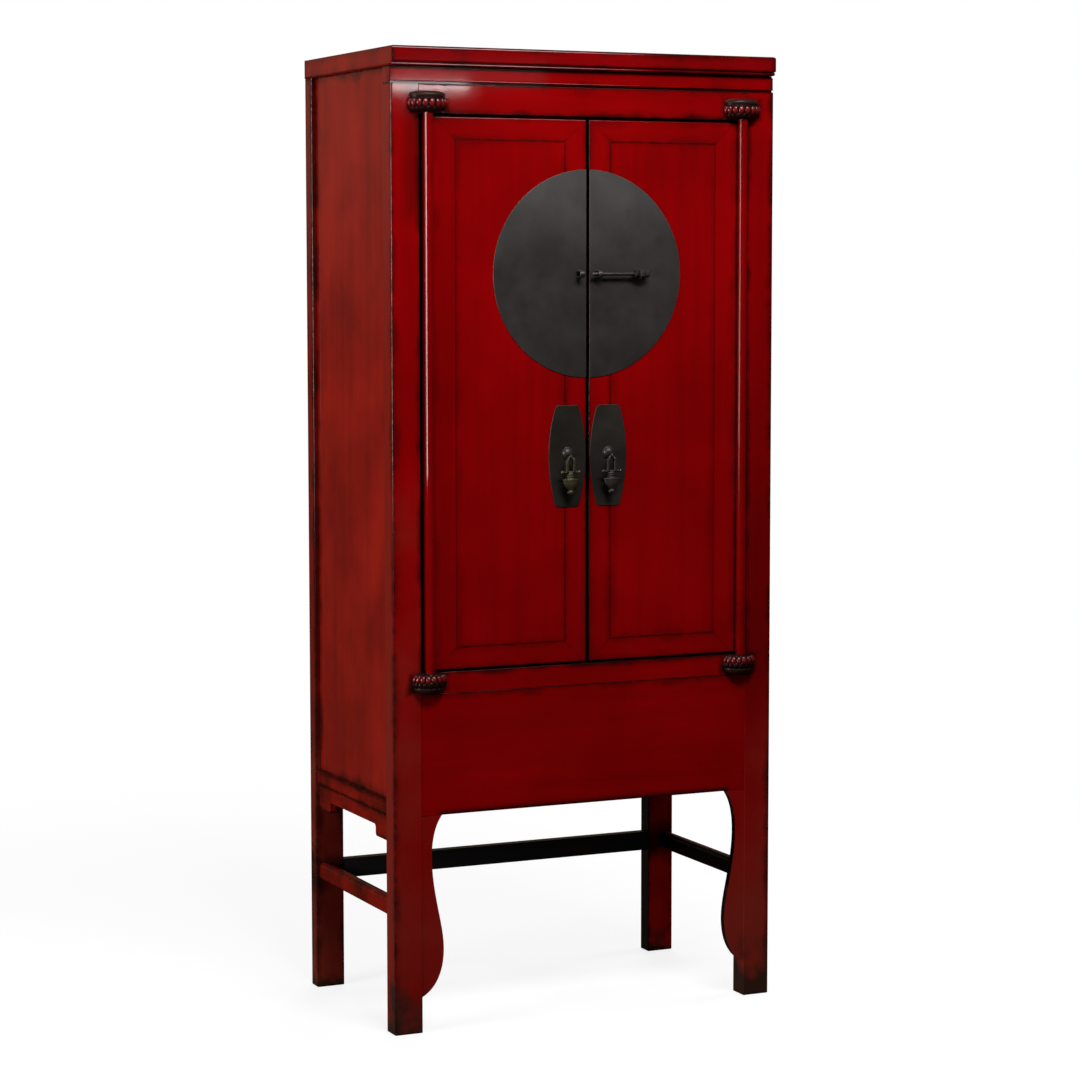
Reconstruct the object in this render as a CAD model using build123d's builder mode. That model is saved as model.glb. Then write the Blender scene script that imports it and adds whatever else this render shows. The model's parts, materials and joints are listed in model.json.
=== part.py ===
from build123d import *

import os

# Lacquered wedding cabinet: a post-and-panel case on legs, with two doors that turn on round poles,
# a lock pin, two hanging pulls, an inner shelf with two drawers, and a covered bottom compartment.
#
# Frame: +Z up, the doors face -Y, origin on the floor below the middle of the bounding box.
# All sizes are in millimetres. Spans are (low, high) pairs.

# ---------------------------------------------------------------- overall sizes
overall_width = 815.0
case_depth = 461.0
overall_height = 1880.0
apron_bottom = 422.0
arris = 1.2

# ---------------------------------------------------------------- posts
front_post_width = 57.0
front_post_depth = 44.0
back_post_width = 58.0
back_post_depth = 36.0
post_corner_radius = 4.0
foot_chamfer = 1.0

# ---------------------------------------------------------------- top frame
top_frame_height = 37.0
top_frame_member = 66.0
nose_reach = 8.3
nose_top_radius = 5.0
nose_lower_radius = 3.5
bead_height = 6.0
bead_reach = 4.6
bead_quirk = 1.6
top_panel_thickness = 14.0
top_batten_width = 30.0
top_batten_height = 18.0
top_batten_offset = 130.0

# ---------------------------------------------------------------- recessed waist band
waist_height = 32.0
waist_thickness = 14.0
waist_set_back = 4.5
waist_upper_quirk = 3.5
waist_lower_groove = 4.5
waist_groove_depth = 4.5
waist_bead = 2.4

# ---------------------------------------------------------------- front rails and apron
head_rail_height = 56.0
sill_rail_height = 41.0
sill_top = 698.0
front_rail_depth = 36.0
apron_thickness = 16.0
apron_set_back = 0.8
stop_lip_height = 12.0
stop_lip_gap = 1.0
stop_lip_end_gap = 15.0

# ---------------------------------------------------------------- leg spandrels: (out from the post, height)
spandrel_thickness = 14.0
spandrel_toe_z = 70.0
spandrel_ankle = (29.0, 97.0)
spandrel_belly = (44.5, 152.0)
spandrel_calf = (34.0, 236.0)
spandrel_waist = (20.8, 330.0)
spandrel_shoulder = 24.0
spandrel_shoulder_drop = 43.0
spandrel_arch = 31.5
spandrel_arch_drop = 18.0
spandrel_head = 42.0

# ---------------------------------------------------------------- sides
side_panel_thickness = 9.0
side_panel_recess = 9.0
side_rail_height = 29.5
side_rail_thickness = 24.0
side_rail_recess = 2.0
side_rail_bead = 5.0
side_rail_quirk = 1.5
side_apron_thickness = 12.0
side_apron_recess = 5.0
side_apron_height = 29.0
side_bracket_drop = 22.0
side_bracket_length = 66.0
side_bracket_radius = 7.0
side_stretcher_bottom = 223.0
side_stretcher_height = 36.0
side_stretcher_thickness = 24.0
side_stretcher_recess = 6.0
side_stretcher_radius = 9.0

# ---------------------------------------------------------------- back
back_rail_thickness = 22.0
back_rail_recess = 8.0
back_rail_height = 40.0
back_middle_rail_bottom = 1130.0
back_panel_thickness = 8.0
back_panel_recess = 15.0
back_stretcher_bottom = 222.5
back_stretcher_height = 39.5

# ---------------------------------------------------------------- inside: drawer shelf and bottom compartment
board_play = 1.0
shelf_thickness = 16.0
lower_shelf_top = 1120.0
drawer_space_height = 124.0
ledger_size = 22.0
partition_thickness = 14.0
partition_set_back = 6.0
floor_thickness = 12.0
cover_thickness = 14.0
cover_play = 2.0
finger_hole_diameter = 28.0
finger_hole_inset = 90.0

# ---------------------------------------------------------------- drawers
drawer_set_back = 45.0
drawer_swing_gap = 45.0
drawer_seat_gap = 0.3
drawer_side_play = 1.0
drawer_top_play = 2.5
drawer_back_gap = 17.0
drawer_front_thickness = 18.0
drawer_side_thickness = 10.0
drawer_bottom_thickness = 6.0
drawer_side_drop = 14.0
drawer_knob_diameter = 18.0
drawer_knob_neck = 8.0
drawer_knob_reach = 20.0
drawer_rose_diameter = 26.0
drawer_rose_thickness = 2.0

# ---------------------------------------------------------------- lotus brackets
# an outline is a list of (share of height, share of size), from the bottom up
bracket_reach = 30.0
bracket_height = 39.0
upper_bracket_rise = 3.0
upper_bracket_half_length = 42.0
lower_bracket_half_length = 38.0
bracket_peg_diameter = 12.0
bracket_peg_length = 20.0
upper_bracket_outline = ((0.0, 0.72), (0.2, 0.86), (0.45, 1.0), (0.7, 0.97), (0.76, 0.9), (1.0, 0.93))
lower_bracket_outline = ((0.0, 0.93), (0.24, 0.9), (0.3, 0.97), (0.55, 1.0), (0.8, 0.93), (1.0, 0.82))

# ---------------------------------------------------------------- doors
pole_diameter = 19.0
pole_reach = 7.5
pole_post_gap = 16.0
pivot_diameter = 11.0
pivot_play = 0.06
upper_pivot_length = 22.0
lower_pivot_length = 20.0
pole_seat_gap = 0.3
pole_top_gap = 1.5
pole_relief = 1.0
door_thickness = 22.0
door_top_gap = 5.0
door_bottom_gap = 4.5
door_middle_gap = 6.0
door_post_gap = 8.0
outer_stile_width = 64.5
inner_stile_width = 45.5
door_rail_height = 42.0
door_edge_radius = 2.0
door_panel_gap = 0.7
door_panel_thickness = 13.0
door_tongue_front = 8.0
door_tongue_length = 8.0
door_batten_height = 34.0
door_batten_inset = 190.0

# ---------------------------------------------------------------- plates and lock
plate_thickness = 1.6
plate_bevel = 0.7
plate_inner_edge = 3.5
disc_diameter = 400.0
disc_drop = 295.0
handle_plate_height = 197.0
handle_plate_width = 79.0
handle_plate_end_width = 48.0
handle_plate_corner = 9.0
handle_plate_centre_x = 44.0
handle_plate_drop = 351.0
pin_diameter = 7.0
pin_play = 1.0
pin_reach = 12.0
pin_length = 92.0
pin_tip_x = 3.0
pin_tip_chamfer = 1.5
pin_head_size = 19.0
pin_head_length = 31.0
pin_head_chamfer = 5.0
staple_x = 20.0
staple_width = 10.0
staple_wall = 2.6
shank_diameter = 5.0
clinch_diameter = 13.0
clinch_thickness = 1.5

# ---------------------------------------------------------------- pulls
boss_diameter = 25.0
boss_height = 9.0
boss_rise = 8.0
pull_hinge_drop = 7.6
pull_hinge_reach = 15.0
eye_wire = 2.6
eye_play = 0.4
pull_bar_diameter = 3.2
pull_thickness = 5.0
pull_arch_width = 25.0
pull_slot_width = 8.0
pull_slot_height = 24.0
pull_crossbar_drop = 30.5
pull_crossbar_length = 42.0
pull_crossbar_diameter = 5.0
pull_ball_diameter = 8.0
pull_neck_width = 10.0
pull_neck_height = 15.0
pull_cup_width = 34.0
pull_cup_depth = 13.0
pull_cup_height = 22.0
pull_foot_width = 15.0
pull_foot_depth = 9.0
pull_foot_ball = 10.0

# ---------------------------------------------------------------- joinery
tenon_shoulder = 9.0
tenon_thickness = 10.0
tenon_length = 20.0
tongue_length = 7.0
tongue_thickness = 6.0
joint_play = 0.2

# ---------------------------------------------------------------- spans


def grown(span, play=joint_play):
    """A span made longer by the play at both ends."""
    return (span[0] - play, span[1] + play)


def flipped(span):
    """A span in x on the other side of the middle plane."""
    return (-span[1], -span[0])


def middle(span):
    """The middle of a span."""
    return (span[0] + span[1]) / 2


def centred(centre, size):
    """The span of a size about its centre."""
    return (centre - size / 2, centre + size / 2)


# ---------------------------------------------------------------- derived planes and spans
side_x = overall_width / 2
front_y = (bracket_reach - case_depth) / 2
back_y = front_y + case_depth
post_top = overall_height - top_frame_height
front_post_x = side_x - front_post_width
back_post_x = side_x - back_post_width
front_post_back_y = front_y + front_post_depth
back_post_front_y = back_y - back_post_depth
between_front_posts = (-front_post_x, front_post_x)
between_back_posts = (-back_post_x, back_post_x)
between_side_posts = (front_post_back_y, back_post_front_y)
between_all_posts = centred(0, 2 * min(front_post_x, back_post_x))

waist_bottom = post_top - waist_height
waist_y = (front_y + waist_set_back, front_y + waist_set_back + waist_thickness)
head_rail_z = (waist_bottom - head_rail_height, waist_bottom)
sill_rail_z = (sill_top - sill_rail_height, sill_top)
front_rail_y = (front_y, front_y + front_rail_depth)
apron_y = (front_y + apron_set_back, front_y + apron_set_back + apron_thickness)
apron_z = (apron_bottom, sill_rail_z[0])
spandrel_y = (front_y + apron_set_back, front_y + apron_set_back + spandrel_thickness)

panel_inner_x = side_x - side_panel_recess - side_panel_thickness
side_panel_x = (side_panel_recess - side_x, -panel_inner_x)
side_rail_x = (side_rail_recess - side_x, side_rail_recess - side_x + side_rail_thickness)
side_rail_z = (apron_bottom, apron_bottom + side_rail_height)
side_apron_x = (side_apron_recess - side_x, side_apron_recess - side_x + side_apron_thickness)
side_apron_bottom = apron_bottom - side_apron_height
stretcher_x = (side_stretcher_recess - side_x, side_stretcher_recess - side_x + side_stretcher_thickness)
stretcher_z = (side_stretcher_bottom, side_stretcher_bottom + side_stretcher_height)

back_rail_y = (back_y - back_rail_recess - back_rail_thickness, back_y - back_rail_recess)
back_panel_y = (back_y - back_panel_recess - back_panel_thickness, back_y - back_panel_recess)
back_bottom_z = (apron_bottom, apron_bottom + back_rail_height)
back_middle_z = (back_middle_rail_bottom, back_middle_rail_bottom + back_rail_height)
back_stretcher_y = (back_post_front_y, back_post_front_y + back_rail_thickness)
back_stretcher_z = (back_stretcher_bottom, back_stretcher_bottom + back_stretcher_height)

door_back_y = front_y + door_thickness
door_z = (sill_top + door_bottom_gap, head_rail_z[0] - door_top_gap)
door_outer_x = front_post_x - door_post_gap
door_inner_x = door_middle_gap / 2
panel_side_x = door_outer_x - outer_stile_width
panel_middle_x = door_inner_x + inner_stile_width
mitre_x = panel_side_x + door_rail_height
door_panel_x = (-panel_side_x, -panel_middle_x)
door_panel_z = (door_z[0] + door_rail_height, door_z[1] - door_rail_height)
pole_x = front_post_x - pole_post_gap
pole_y = front_y - pole_reach
plate_y = front_y - plate_thickness
disc_centre_z = door_z[1] - disc_drop
handle_plate_centre_z = disc_centre_z - handle_plate_drop
boss_z = handle_plate_centre_z + boss_rise
pull_hinge_z = boss_z - pull_hinge_drop
pin_y = plate_y - pin_reach
pull_y = plate_y - pull_hinge_reach

os.makedirs("parts", exist_ok=True)


# ================================================================ helpers


def block(x, y, z, mode=Mode.ADD):
    """Add, or cut, the box between spans in x, y and z."""
    with Locations((middle(x), middle(y), middle(z))):
        Box(x[1] - x[0], y[1] - y[0], z[1] - z[0], mode=mode)


def cut_seat(x, y, z):
    """Cut the mortise or groove for a tenon or tongue, with the joint's play all round."""
    block(grown(x), grown(y), grown(z), mode=Mode.SUBTRACT)


def soften(axis, radius, keep=lambda centre: True):
    """Round the edges along an axis whose centres pass the test."""
    chosen = edges().filter_by(axis).filter_by(lambda edge: keep(edge.center()))
    if chosen:
        fillet(chosen, radius=radius)


def rod(x, y, z, diameter, length, direction=(0, 1, 0), mode=Mode.ADD):
    """Add, or cut, a round bar that starts at a point and runs in a direction."""
    with BuildSketch(Plane(origin=(x, y, z), z_dir=direction)) as section:
        Circle(diameter / 2)
    extrude(section.sketch, amount=length, mode=mode)


def write(piece, node):
    """Label a finished piece with its node's name and write it as STEP."""
    piece.part.label = node
    export_step(piece.part, f"parts/{node}.step")


def write_left_and_right(piece, node):
    """Write a left-hand piece, and its mirror image, as two nodes."""
    write(piece, f"left_{node}")
    with BuildPart() as twin:
        mirror(piece.part, about=Plane.YZ)
    write(twin, f"right_{node}")


def write_as_pair(piece, node):
    """Write a left-hand piece and its mirror image as two solids of one node."""
    with BuildPart() as pair:
        add(piece.part)
        mirror(piece.part, about=Plane.YZ)
    write(pair, node)


# ================================================================ tenons of the left side, as (x, y, z) spans


def cross_tenon(post_x, y, z):
    """Left-hand tenon of a rail that runs from side to side."""
    return (
        (-post_x - tenon_length, -post_x),
        centred(middle(y), tenon_thickness),
        grown(z, -tenon_shoulder),
    )


def side_tenons(x, z):
    """Front and back tenons of a left-hand rail that runs from front to back."""
    across = centred(middle(x), tenon_thickness)
    upright = grown(z, -tenon_shoulder)
    front = (across, (front_post_back_y - tenon_length, front_post_back_y), upright)
    back = (across, (back_post_front_y, back_post_front_y + tenon_length), upright)
    return front, back


def top_tenon(post_x, y):
    """Stub tenon on a left-hand post, which keys the mitred corner of the top frame."""
    return (
        grown((-side_x, -post_x), -2 * tenon_shoulder),
        centred(middle(y), tenon_thickness),
        (post_top, post_top + top_frame_height / 2),
    )


head_tenon = cross_tenon(front_post_x, front_rail_y, head_rail_z)
sill_tenon = cross_tenon(front_post_x, front_rail_y, sill_rail_z)
back_bottom_tenon = cross_tenon(back_post_x, back_rail_y, back_bottom_z)
back_middle_tenon = cross_tenon(back_post_x, back_rail_y, back_middle_z)
back_stretcher_tenon = cross_tenon(back_post_x, back_stretcher_y, back_stretcher_z)
side_rail_tenons = side_tenons(side_rail_x, side_rail_z)
stretcher_tenons = side_tenons(stretcher_x, stretcher_z)
front_top_tenon = top_tenon(front_post_x, (waist_y[1], front_post_back_y))
back_top_tenon = top_tenon(back_post_x, (back_post_front_y, back_y))

# tongues that run in grooves
side_panel_y = grown(between_side_posts, tongue_length)
side_panel_z = (side_rail_z[1] - tongue_length, post_top + tongue_length)
apron_tongue_y = centred(middle(apron_y), tongue_thickness)
spandrel_tongue_y = centred(middle(spandrel_y), tongue_thickness)
front_tongue_x = (-front_post_x - tongue_length, -front_post_x)
back_panel_x = grown(between_back_posts, tongue_length)
lower_back_panel_z = grown((back_bottom_z[1], back_middle_z[0]), tongue_length)
upper_back_panel_z = grown((back_middle_z[1], post_top), tongue_length)

# ================================================================ posts

with BuildPart() as front_post:
    block((-side_x, -front_post_x), (front_y, front_post_back_y), (0, post_top))
    soften(Axis.Z, post_corner_radius, lambda centre: centre.X < arris - side_x)
    soften(Axis.Z, arris, lambda centre: centre.X > -front_post_x - arris)
    chamfer(edges().group_by(Axis.Z)[0], length=foot_chamfer)
    block((-side_x, -front_post_x), (front_y, waist_y[1]), (waist_bottom, post_top), mode=Mode.SUBTRACT)
    block(*front_top_tenon)
    for tenon in (head_tenon, sill_tenon, side_rail_tenons[0], stretcher_tenons[0]):
        cut_seat(*tenon)
    cut_seat(side_panel_x, (side_panel_y[0], front_post_back_y), (side_panel_z[0], post_top))
    cut_seat(front_tongue_x, apron_tongue_y, apron_z)
    cut_seat(front_tongue_x, spandrel_tongue_y, (spandrel_toe_z, apron_bottom))
write(front_post, "front_left_post")
with BuildPart() as front_right_post:
    mirror(front_post.part, about=Plane.YZ)
write(front_right_post, "front_right_post")

with BuildPart() as back_post:
    block((-side_x, -back_post_x), (back_post_front_y, back_y), (0, post_top))
    soften(Axis.Z, post_corner_radius, lambda centre: centre.X < arris - side_x)
    soften(Axis.Z, arris, lambda centre: centre.X > -back_post_x - arris)
    chamfer(edges().group_by(Axis.Z)[0], length=foot_chamfer)
    block(*back_top_tenon)
    for tenon in (back_bottom_tenon, back_middle_tenon, back_stretcher_tenon):
        cut_seat(*tenon)
    for tenon in (side_rail_tenons[1], stretcher_tenons[1]):
        cut_seat(*tenon)
    cut_seat(side_panel_x, (back_post_front_y, side_panel_y[1]), (side_panel_z[0], post_top))
    cut_seat((back_panel_x[0], -back_post_x), back_panel_y, (lower_back_panel_z[0], post_top))
write(back_post, "back_left_post")
with BuildPart() as back_right_post:
    mirror(back_post.part, about=Plane.YZ)
write(back_right_post, "back_right_post")

# ================================================================ top frame: four mitred members, one panel

nose_y = front_y - nose_reach
frame_z = (post_top, overall_height)
frame_inner_x = side_x - top_frame_member
frame_opening_x = (-frame_inner_x, frame_inner_x)
frame_opening_y = (nose_y + top_frame_member, back_y - top_frame_member)
top_panel_z = (overall_height - top_panel_thickness, overall_height - door_panel_gap)
top_tongue_z = (top_panel_z[0], top_panel_z[0] + tongue_thickness)
top_tongue = (grown(frame_opening_x, tongue_length), grown(frame_opening_y, tongue_length), top_tongue_z)
top_battens_spans = [
    (
        centred(centre_x, top_batten_width),
        grown(frame_opening_y, tongue_length),
        (top_panel_z[0] - top_batten_height, top_panel_z[0]),
    )
    for centre_x in (-top_batten_offset, top_batten_offset)
]


def cut_top_seats():
    """Cut a top-frame member for the panel, the battens, the post tenons and the wall panels."""
    cut_seat(*top_tongue)
    for batten in top_battens_spans:
        cut_seat(*batten)
    for x, y, z in (front_top_tenon, back_top_tenon):
        cut_seat(x, y, z)
        cut_seat(flipped(x), y, z)
    for x in (side_panel_x, flipped(side_panel_x)):
        cut_seat(x, side_panel_y, (post_top, side_panel_z[1]))
    cut_seat(back_panel_x, back_panel_y, (post_top, upper_back_panel_z[1]))


def nose_section():
    """Front-to-back section of the top frame: rounded nose over a thin bead, square at the back."""
    bead_y = front_y - bead_reach
    quirk_y = bead_y + bead_height / 2
    nose_z = post_top + bead_height + bead_quirk
    with BuildSketch(Plane.YZ.offset(-side_x)) as section:
        with BuildLine():
            Line((back_y, post_top), (quirk_y, post_top))
            ThreePointArc(
                (quirk_y, post_top),
                (bead_y, post_top + bead_height / 2),
                (quirk_y, post_top + bead_height),
            )
            Line((quirk_y, post_top + bead_height), (quirk_y, nose_z))
            FilletPolyline(
                (quirk_y, nose_z),
                (nose_y, nose_z),
                (nose_y, overall_height),
                (back_y, overall_height),
                radius=[nose_lower_radius, nose_top_radius],
            )
            Line((back_y, overall_height), (back_y, post_top))
        make_face()
    return section.sketch


def keep_between_mitres(*points):
    """Keep what lies inside a plan outline, which cuts a member's ends at its mitres."""
    with BuildSketch(Plane.XY.offset(post_top)) as outline:
        with BuildLine():
            Polyline(*points, close=True)
        make_face()
    extrude(outline.sketch, amount=top_frame_height, mode=Mode.INTERSECT)


with BuildPart() as top_front_rail:
    extrude(nose_section(), amount=overall_width)
    keep_between_mitres(
        (-side_x, nose_y),
        (side_x, nose_y),
        (frame_inner_x, frame_opening_y[0]),
        (-frame_inner_x, frame_opening_y[0]),
    )
    cut_top_seats()
write(top_front_rail, "top_front_rail")

with BuildPart() as top_back_rail:
    block((-side_x, side_x), (frame_opening_y[1], back_y), frame_z)
    soften(Axis.X, arris, lambda centre: centre.Y > back_y - arris)
    keep_between_mitres(
        (-side_x, back_y),
        (side_x, back_y),
        (frame_inner_x, frame_opening_y[1]),
        (-frame_inner_x, frame_opening_y[1]),
    )
    cut_top_seats()
write(top_back_rail, "top_back_rail")

with BuildPart() as top_left_rail:
    block((-side_x, -frame_inner_x), (nose_y, back_y), frame_z)
    soften(Axis.Y, post_corner_radius, lambda centre: centre.X < arris - side_x)
    extrude(nose_section(), amount=overall_width, mode=Mode.INTERSECT)
    keep_between_mitres(
        (-side_x, nose_y),
        (-side_x, back_y),
        (-frame_inner_x, frame_opening_y[1]),
        (-frame_inner_x, frame_opening_y[0]),
    )
    cut_top_seats()
write_as_pair(top_left_rail, "top_side_rails")

with BuildPart() as top_panel:
    block(grown(frame_opening_x, -door_panel_gap), grown(frame_opening_y, -door_panel_gap), top_panel_z)
    block(*top_tongue)
write(top_panel, "top_panel")

with BuildPart() as top_battens:
    for batten in top_battens_spans:
        block(*batten)
write(top_battens, "top_battens")

# ================================================================ front: waist band, rails, apron, spandrels

with BuildPart() as waist_moulding:
    groove_y = waist_y[0] + waist_groove_depth
    band_z = (waist_bottom + waist_lower_groove, post_top - waist_upper_quirk)
    block((-side_x, side_x), (groove_y, waist_y[1]), (waist_bottom, post_top))
    block((-side_x, side_x), (waist_y[0], groove_y), band_z)
    rod(-side_x, waist_y[0], band_z[0] + waist_bead / 2, waist_bead, overall_width, (1, 0, 0))
write(waist_moulding, "waist_moulding")

stop_lip_x = centred(0, 2 * (pole_x - stop_lip_end_gap))
stop_lip_y = (door_back_y + stop_lip_gap, front_rail_y[1])
apron_head_z = (sill_rail_z[0], sill_rail_z[0] + tongue_length)
upper_bracket_bottom = head_rail_z[0] + upper_bracket_rise
upper_peg_z = upper_bracket_bottom + bracket_height / 2
lower_peg_z = sill_top - bracket_height / 2


def add_front_rail(z, tenon, stop_lip_z, peg_z):
    """A front rail: tenons, a lip that stops the doors, and the peg holes of two lotus brackets."""
    block(between_front_posts, front_rail_y, z)
    soften(Axis.X, arris, lambda centre: centre.Y < front_y + arris)
    block(stop_lip_x, stop_lip_y, stop_lip_z)
    block(*tenon)
    block(flipped(tenon[0]), tenon[1], tenon[2])
    for x in (-pole_x, pole_x):
        rod(
            x,
            front_y,
            peg_z,
            bracket_peg_diameter + joint_play,
            bracket_peg_length + joint_play,
            mode=Mode.SUBTRACT,
        )


with BuildPart() as door_head_rail:
    head_lip_z = (head_rail_z[0] - stop_lip_height, head_rail_z[0])
    add_front_rail(head_rail_z, head_tenon, head_lip_z, upper_peg_z)
    relief_height = upper_bracket_bottom - head_rail_z[0]
    for x in (-pole_x, pole_x):
        rod(
            x,
            pole_y,
            head_rail_z[0],
            pole_diameter + 2 * pole_relief,
            relief_height,
            (0, 0, 1),
            mode=Mode.SUBTRACT,
        )
write(door_head_rail, "door_head_rail")

with BuildPart() as door_sill_rail:
    add_front_rail(sill_rail_z, sill_tenon, (sill_top, sill_top + stop_lip_height), lower_peg_z)
    cut_seat(between_front_posts, apron_tongue_y, apron_head_z)
write(door_sill_rail, "door_sill_rail")

with BuildPart() as front_apron:
    block(between_front_posts, apron_y, apron_z)
    soften(Axis.X, arris, lambda centre: centre.Y < apron_y[0] + arris)
    soften(Axis.Z, arris, lambda centre: centre.Y < apron_y[0] + arris)
    block(between_front_posts, apron_tongue_y, apron_head_z)
    block(
        grown(between_front_posts, tongue_length),
        apron_tongue_y,
        (apron_z[0] + tongue_length, apron_z[1]),
    )
write(front_apron, "front_apron")

with BuildPart() as leg_spandrel:
    inner = -front_post_x
    outline = (spandrel_ankle, spandrel_belly, spandrel_calf, spandrel_waist)
    with BuildSketch(Plane.XZ.offset(-spandrel_y[0])):
        with BuildLine():
            Spline(
                (inner, spandrel_toe_z),
                *[(inner + out, height) for out, height in outline],
                (inner + spandrel_shoulder, apron_bottom - spandrel_shoulder_drop),
                (inner + spandrel_arch, apron_bottom - spandrel_arch_drop),
                (inner + spandrel_head, apron_bottom),
            )
            Polyline((inner + spandrel_head, apron_bottom), (inner, apron_bottom), (inner, spandrel_toe_z))
        make_face()
    extrude(amount=-spandrel_thickness)
    block(front_tongue_x, spandrel_tongue_y, grown((spandrel_toe_z, apron_bottom), -tongue_length))
write_as_pair(leg_spandrel, "leg_spandrels")

# ================================================================ sides

with BuildPart() as side_panel:
    block(side_panel_x, side_panel_y, side_panel_z)
write_left_and_right(side_panel, "side_panel")

with BuildPart() as side_rail:
    block(side_rail_x, between_side_posts, side_rail_z)
    soften(Axis.Y, arris, lambda centre: centre.X < side_rail_x[0] + arris)
    quirk_top = side_rail_z[1] - side_rail_bead
    block(
        (side_rail_x[0], side_rail_x[0] + side_rail_quirk),
        between_side_posts,
        (quirk_top - side_rail_quirk, quirk_top),
        mode=Mode.SUBTRACT,
    )
    for tenon in side_rail_tenons:
        block(*tenon)
    cut_seat(side_panel_x, between_side_posts, (side_panel_z[0], side_rail_z[1]))
write_as_pair(side_rail, "side_rails")

# the side apron hangs below the rail and widens into a bracket beside each post
with BuildPart() as side_apron:
    bracket_z = (side_apron_bottom - side_bracket_drop, side_apron_bottom)
    front_bracket_y = (between_side_posts[0], between_side_posts[0] + side_bracket_length)
    back_bracket_y = (between_side_posts[1] - side_bracket_length, between_side_posts[1])
    block(side_apron_x, between_side_posts, (side_apron_bottom, apron_bottom))
    block(side_apron_x, front_bracket_y, bracket_z)
    block(side_apron_x, back_bracket_y, bracket_z)
    soften(
        Axis.X,
        side_bracket_radius,
        lambda centre: centre.Z < side_apron_bottom + arris
        and front_post_back_y + arris < centre.Y < back_post_front_y - arris,
    )
write_as_pair(side_apron, "side_aprons")

with BuildPart() as side_stretcher:
    block(stretcher_x, between_side_posts, stretcher_z)
    soften(Axis.Y, side_stretcher_radius)
    for tenon in stretcher_tenons:
        block(*tenon)
write_as_pair(side_stretcher, "side_stretchers")

# ================================================================ back


def add_back_rail(y, z, tenon, grooved_edges=()):
    """A rail between the back posts, with tenons and a panel groove in the edges named."""
    block(between_back_posts, y, z)
    soften(Axis.X, arris)
    block(*tenon)
    block(flipped(tenon[0]), tenon[1], tenon[2])
    for edge_z in grooved_edges:
        cut_seat(between_back_posts, back_panel_y, grown((edge_z, edge_z), tongue_length))


with BuildPart() as back_stretcher:
    add_back_rail(back_stretcher_y, back_stretcher_z, back_stretcher_tenon)
write(back_stretcher, "back_stretcher")

with BuildPart() as back_bottom_rail:
    add_back_rail(back_rail_y, back_bottom_z, back_bottom_tenon, back_bottom_z[1:])
write(back_bottom_rail, "back_bottom_rail")

with BuildPart() as back_middle_rail:
    add_back_rail(back_rail_y, back_middle_z, back_middle_tenon, back_middle_z)
write(back_middle_rail, "back_middle_rail")

with BuildPart() as back_lower_panel:
    block(back_panel_x, back_panel_y, lower_back_panel_z)
write(back_lower_panel, "back_lower_panel")

with BuildPart() as back_upper_panel:
    block(back_panel_x, back_panel_y, upper_back_panel_z)
write(back_upper_panel, "back_upper_panel")

# ================================================================ inside the case

inside_x = panel_inner_x - board_play
inside_y = grown(between_side_posts, -board_play)
ledger_x = (-inside_x, -inside_x + ledger_size)
lower_shelf_z = (lower_shelf_top - shelf_thickness, lower_shelf_top)
upper_shelf_bottom = lower_shelf_top + drawer_space_height
upper_shelf_z = (upper_shelf_bottom, upper_shelf_bottom + shelf_thickness)
cover_z = (sill_top - cover_thickness, sill_top)
floor_z = (side_rail_z[1], side_rail_z[1] + floor_thickness)


def add_ledgers(top_z):
    """A bar under each end of a board, from front post to back post."""
    for x in (ledger_x, flipped(ledger_x)):
        block(x, between_side_posts, (top_z - ledger_size, top_z))


for shelf_name, shelf_z in (("lower_shelf", lower_shelf_z), ("upper_shelf", upper_shelf_z)):
    with BuildPart() as shelf:
        block((-inside_x, inside_x), inside_y, shelf_z)
        soften(Axis.X, arris, lambda centre: centre.Y < inside_y[0] + arris)
    write(shelf, shelf_name)

with BuildPart() as shelf_ledgers:
    add_ledgers(lower_shelf_z[0])
    add_ledgers(upper_shelf_z[0])
write(shelf_ledgers, "shelf_ledgers")

# the partitions stand between the two shelves and guide the drawers
drawer_outer_x = pole_x - drawer_swing_gap
with BuildPart() as drawer_partitions:
    partition_y = (inside_y[0] + partition_set_back, inside_y[1])
    outer_partition_x = (-drawer_outer_x - partition_thickness, -drawer_outer_x)
    for x in (outer_partition_x, centred(0, partition_thickness), flipped(outer_partition_x)):
        block(x, partition_y, (lower_shelf_z[1], upper_shelf_z[0]))
write(drawer_partitions, "drawer_partitions")

with BuildPart() as compartment_floor:
    block((-inside_x, inside_x), inside_y, floor_z)
    block(
        grown(between_all_posts, -board_play),
        (apron_y[1] + board_play, back_rail_y[0] - board_play),
        floor_z,
    )
write(compartment_floor, "compartment_floor")

with BuildPart() as compartment_ledgers:
    add_ledgers(cover_z[0])
write(compartment_ledgers, "compartment_ledgers")

# the cover lifts straight out, by two finger holes
with BuildPart() as compartment_cover:
    cover_x = grown((-inside_x, inside_x), -cover_play)
    cover_y = grown(inside_y, -cover_play)
    block(cover_x, cover_y, cover_z)
    block(grown(between_all_posts, -cover_play), (front_rail_y[1] + cover_play, cover_y[1]), cover_z)
    for x in (cover_x[0] + finger_hole_inset, cover_x[1] - finger_hole_inset):
        rod(
            x,
            middle(cover_y),
            cover_z[0],
            finger_hole_diameter,
            cover_thickness,
            (0, 0, 1),
            mode=Mode.SUBTRACT,
        )
write(compartment_cover, "compartment_cover")

# ================================================================ drawers

drawer_x = (-drawer_outer_x + drawer_side_play, -partition_thickness / 2 - drawer_side_play)
drawer_y = (door_back_y + drawer_set_back, inside_y[1] - drawer_back_gap)
drawer_z = (lower_shelf_z[1] + drawer_seat_gap, upper_shelf_z[0] - drawer_top_play)
drawer_box_y = (drawer_y[0] + drawer_front_thickness, drawer_y[1])

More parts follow.
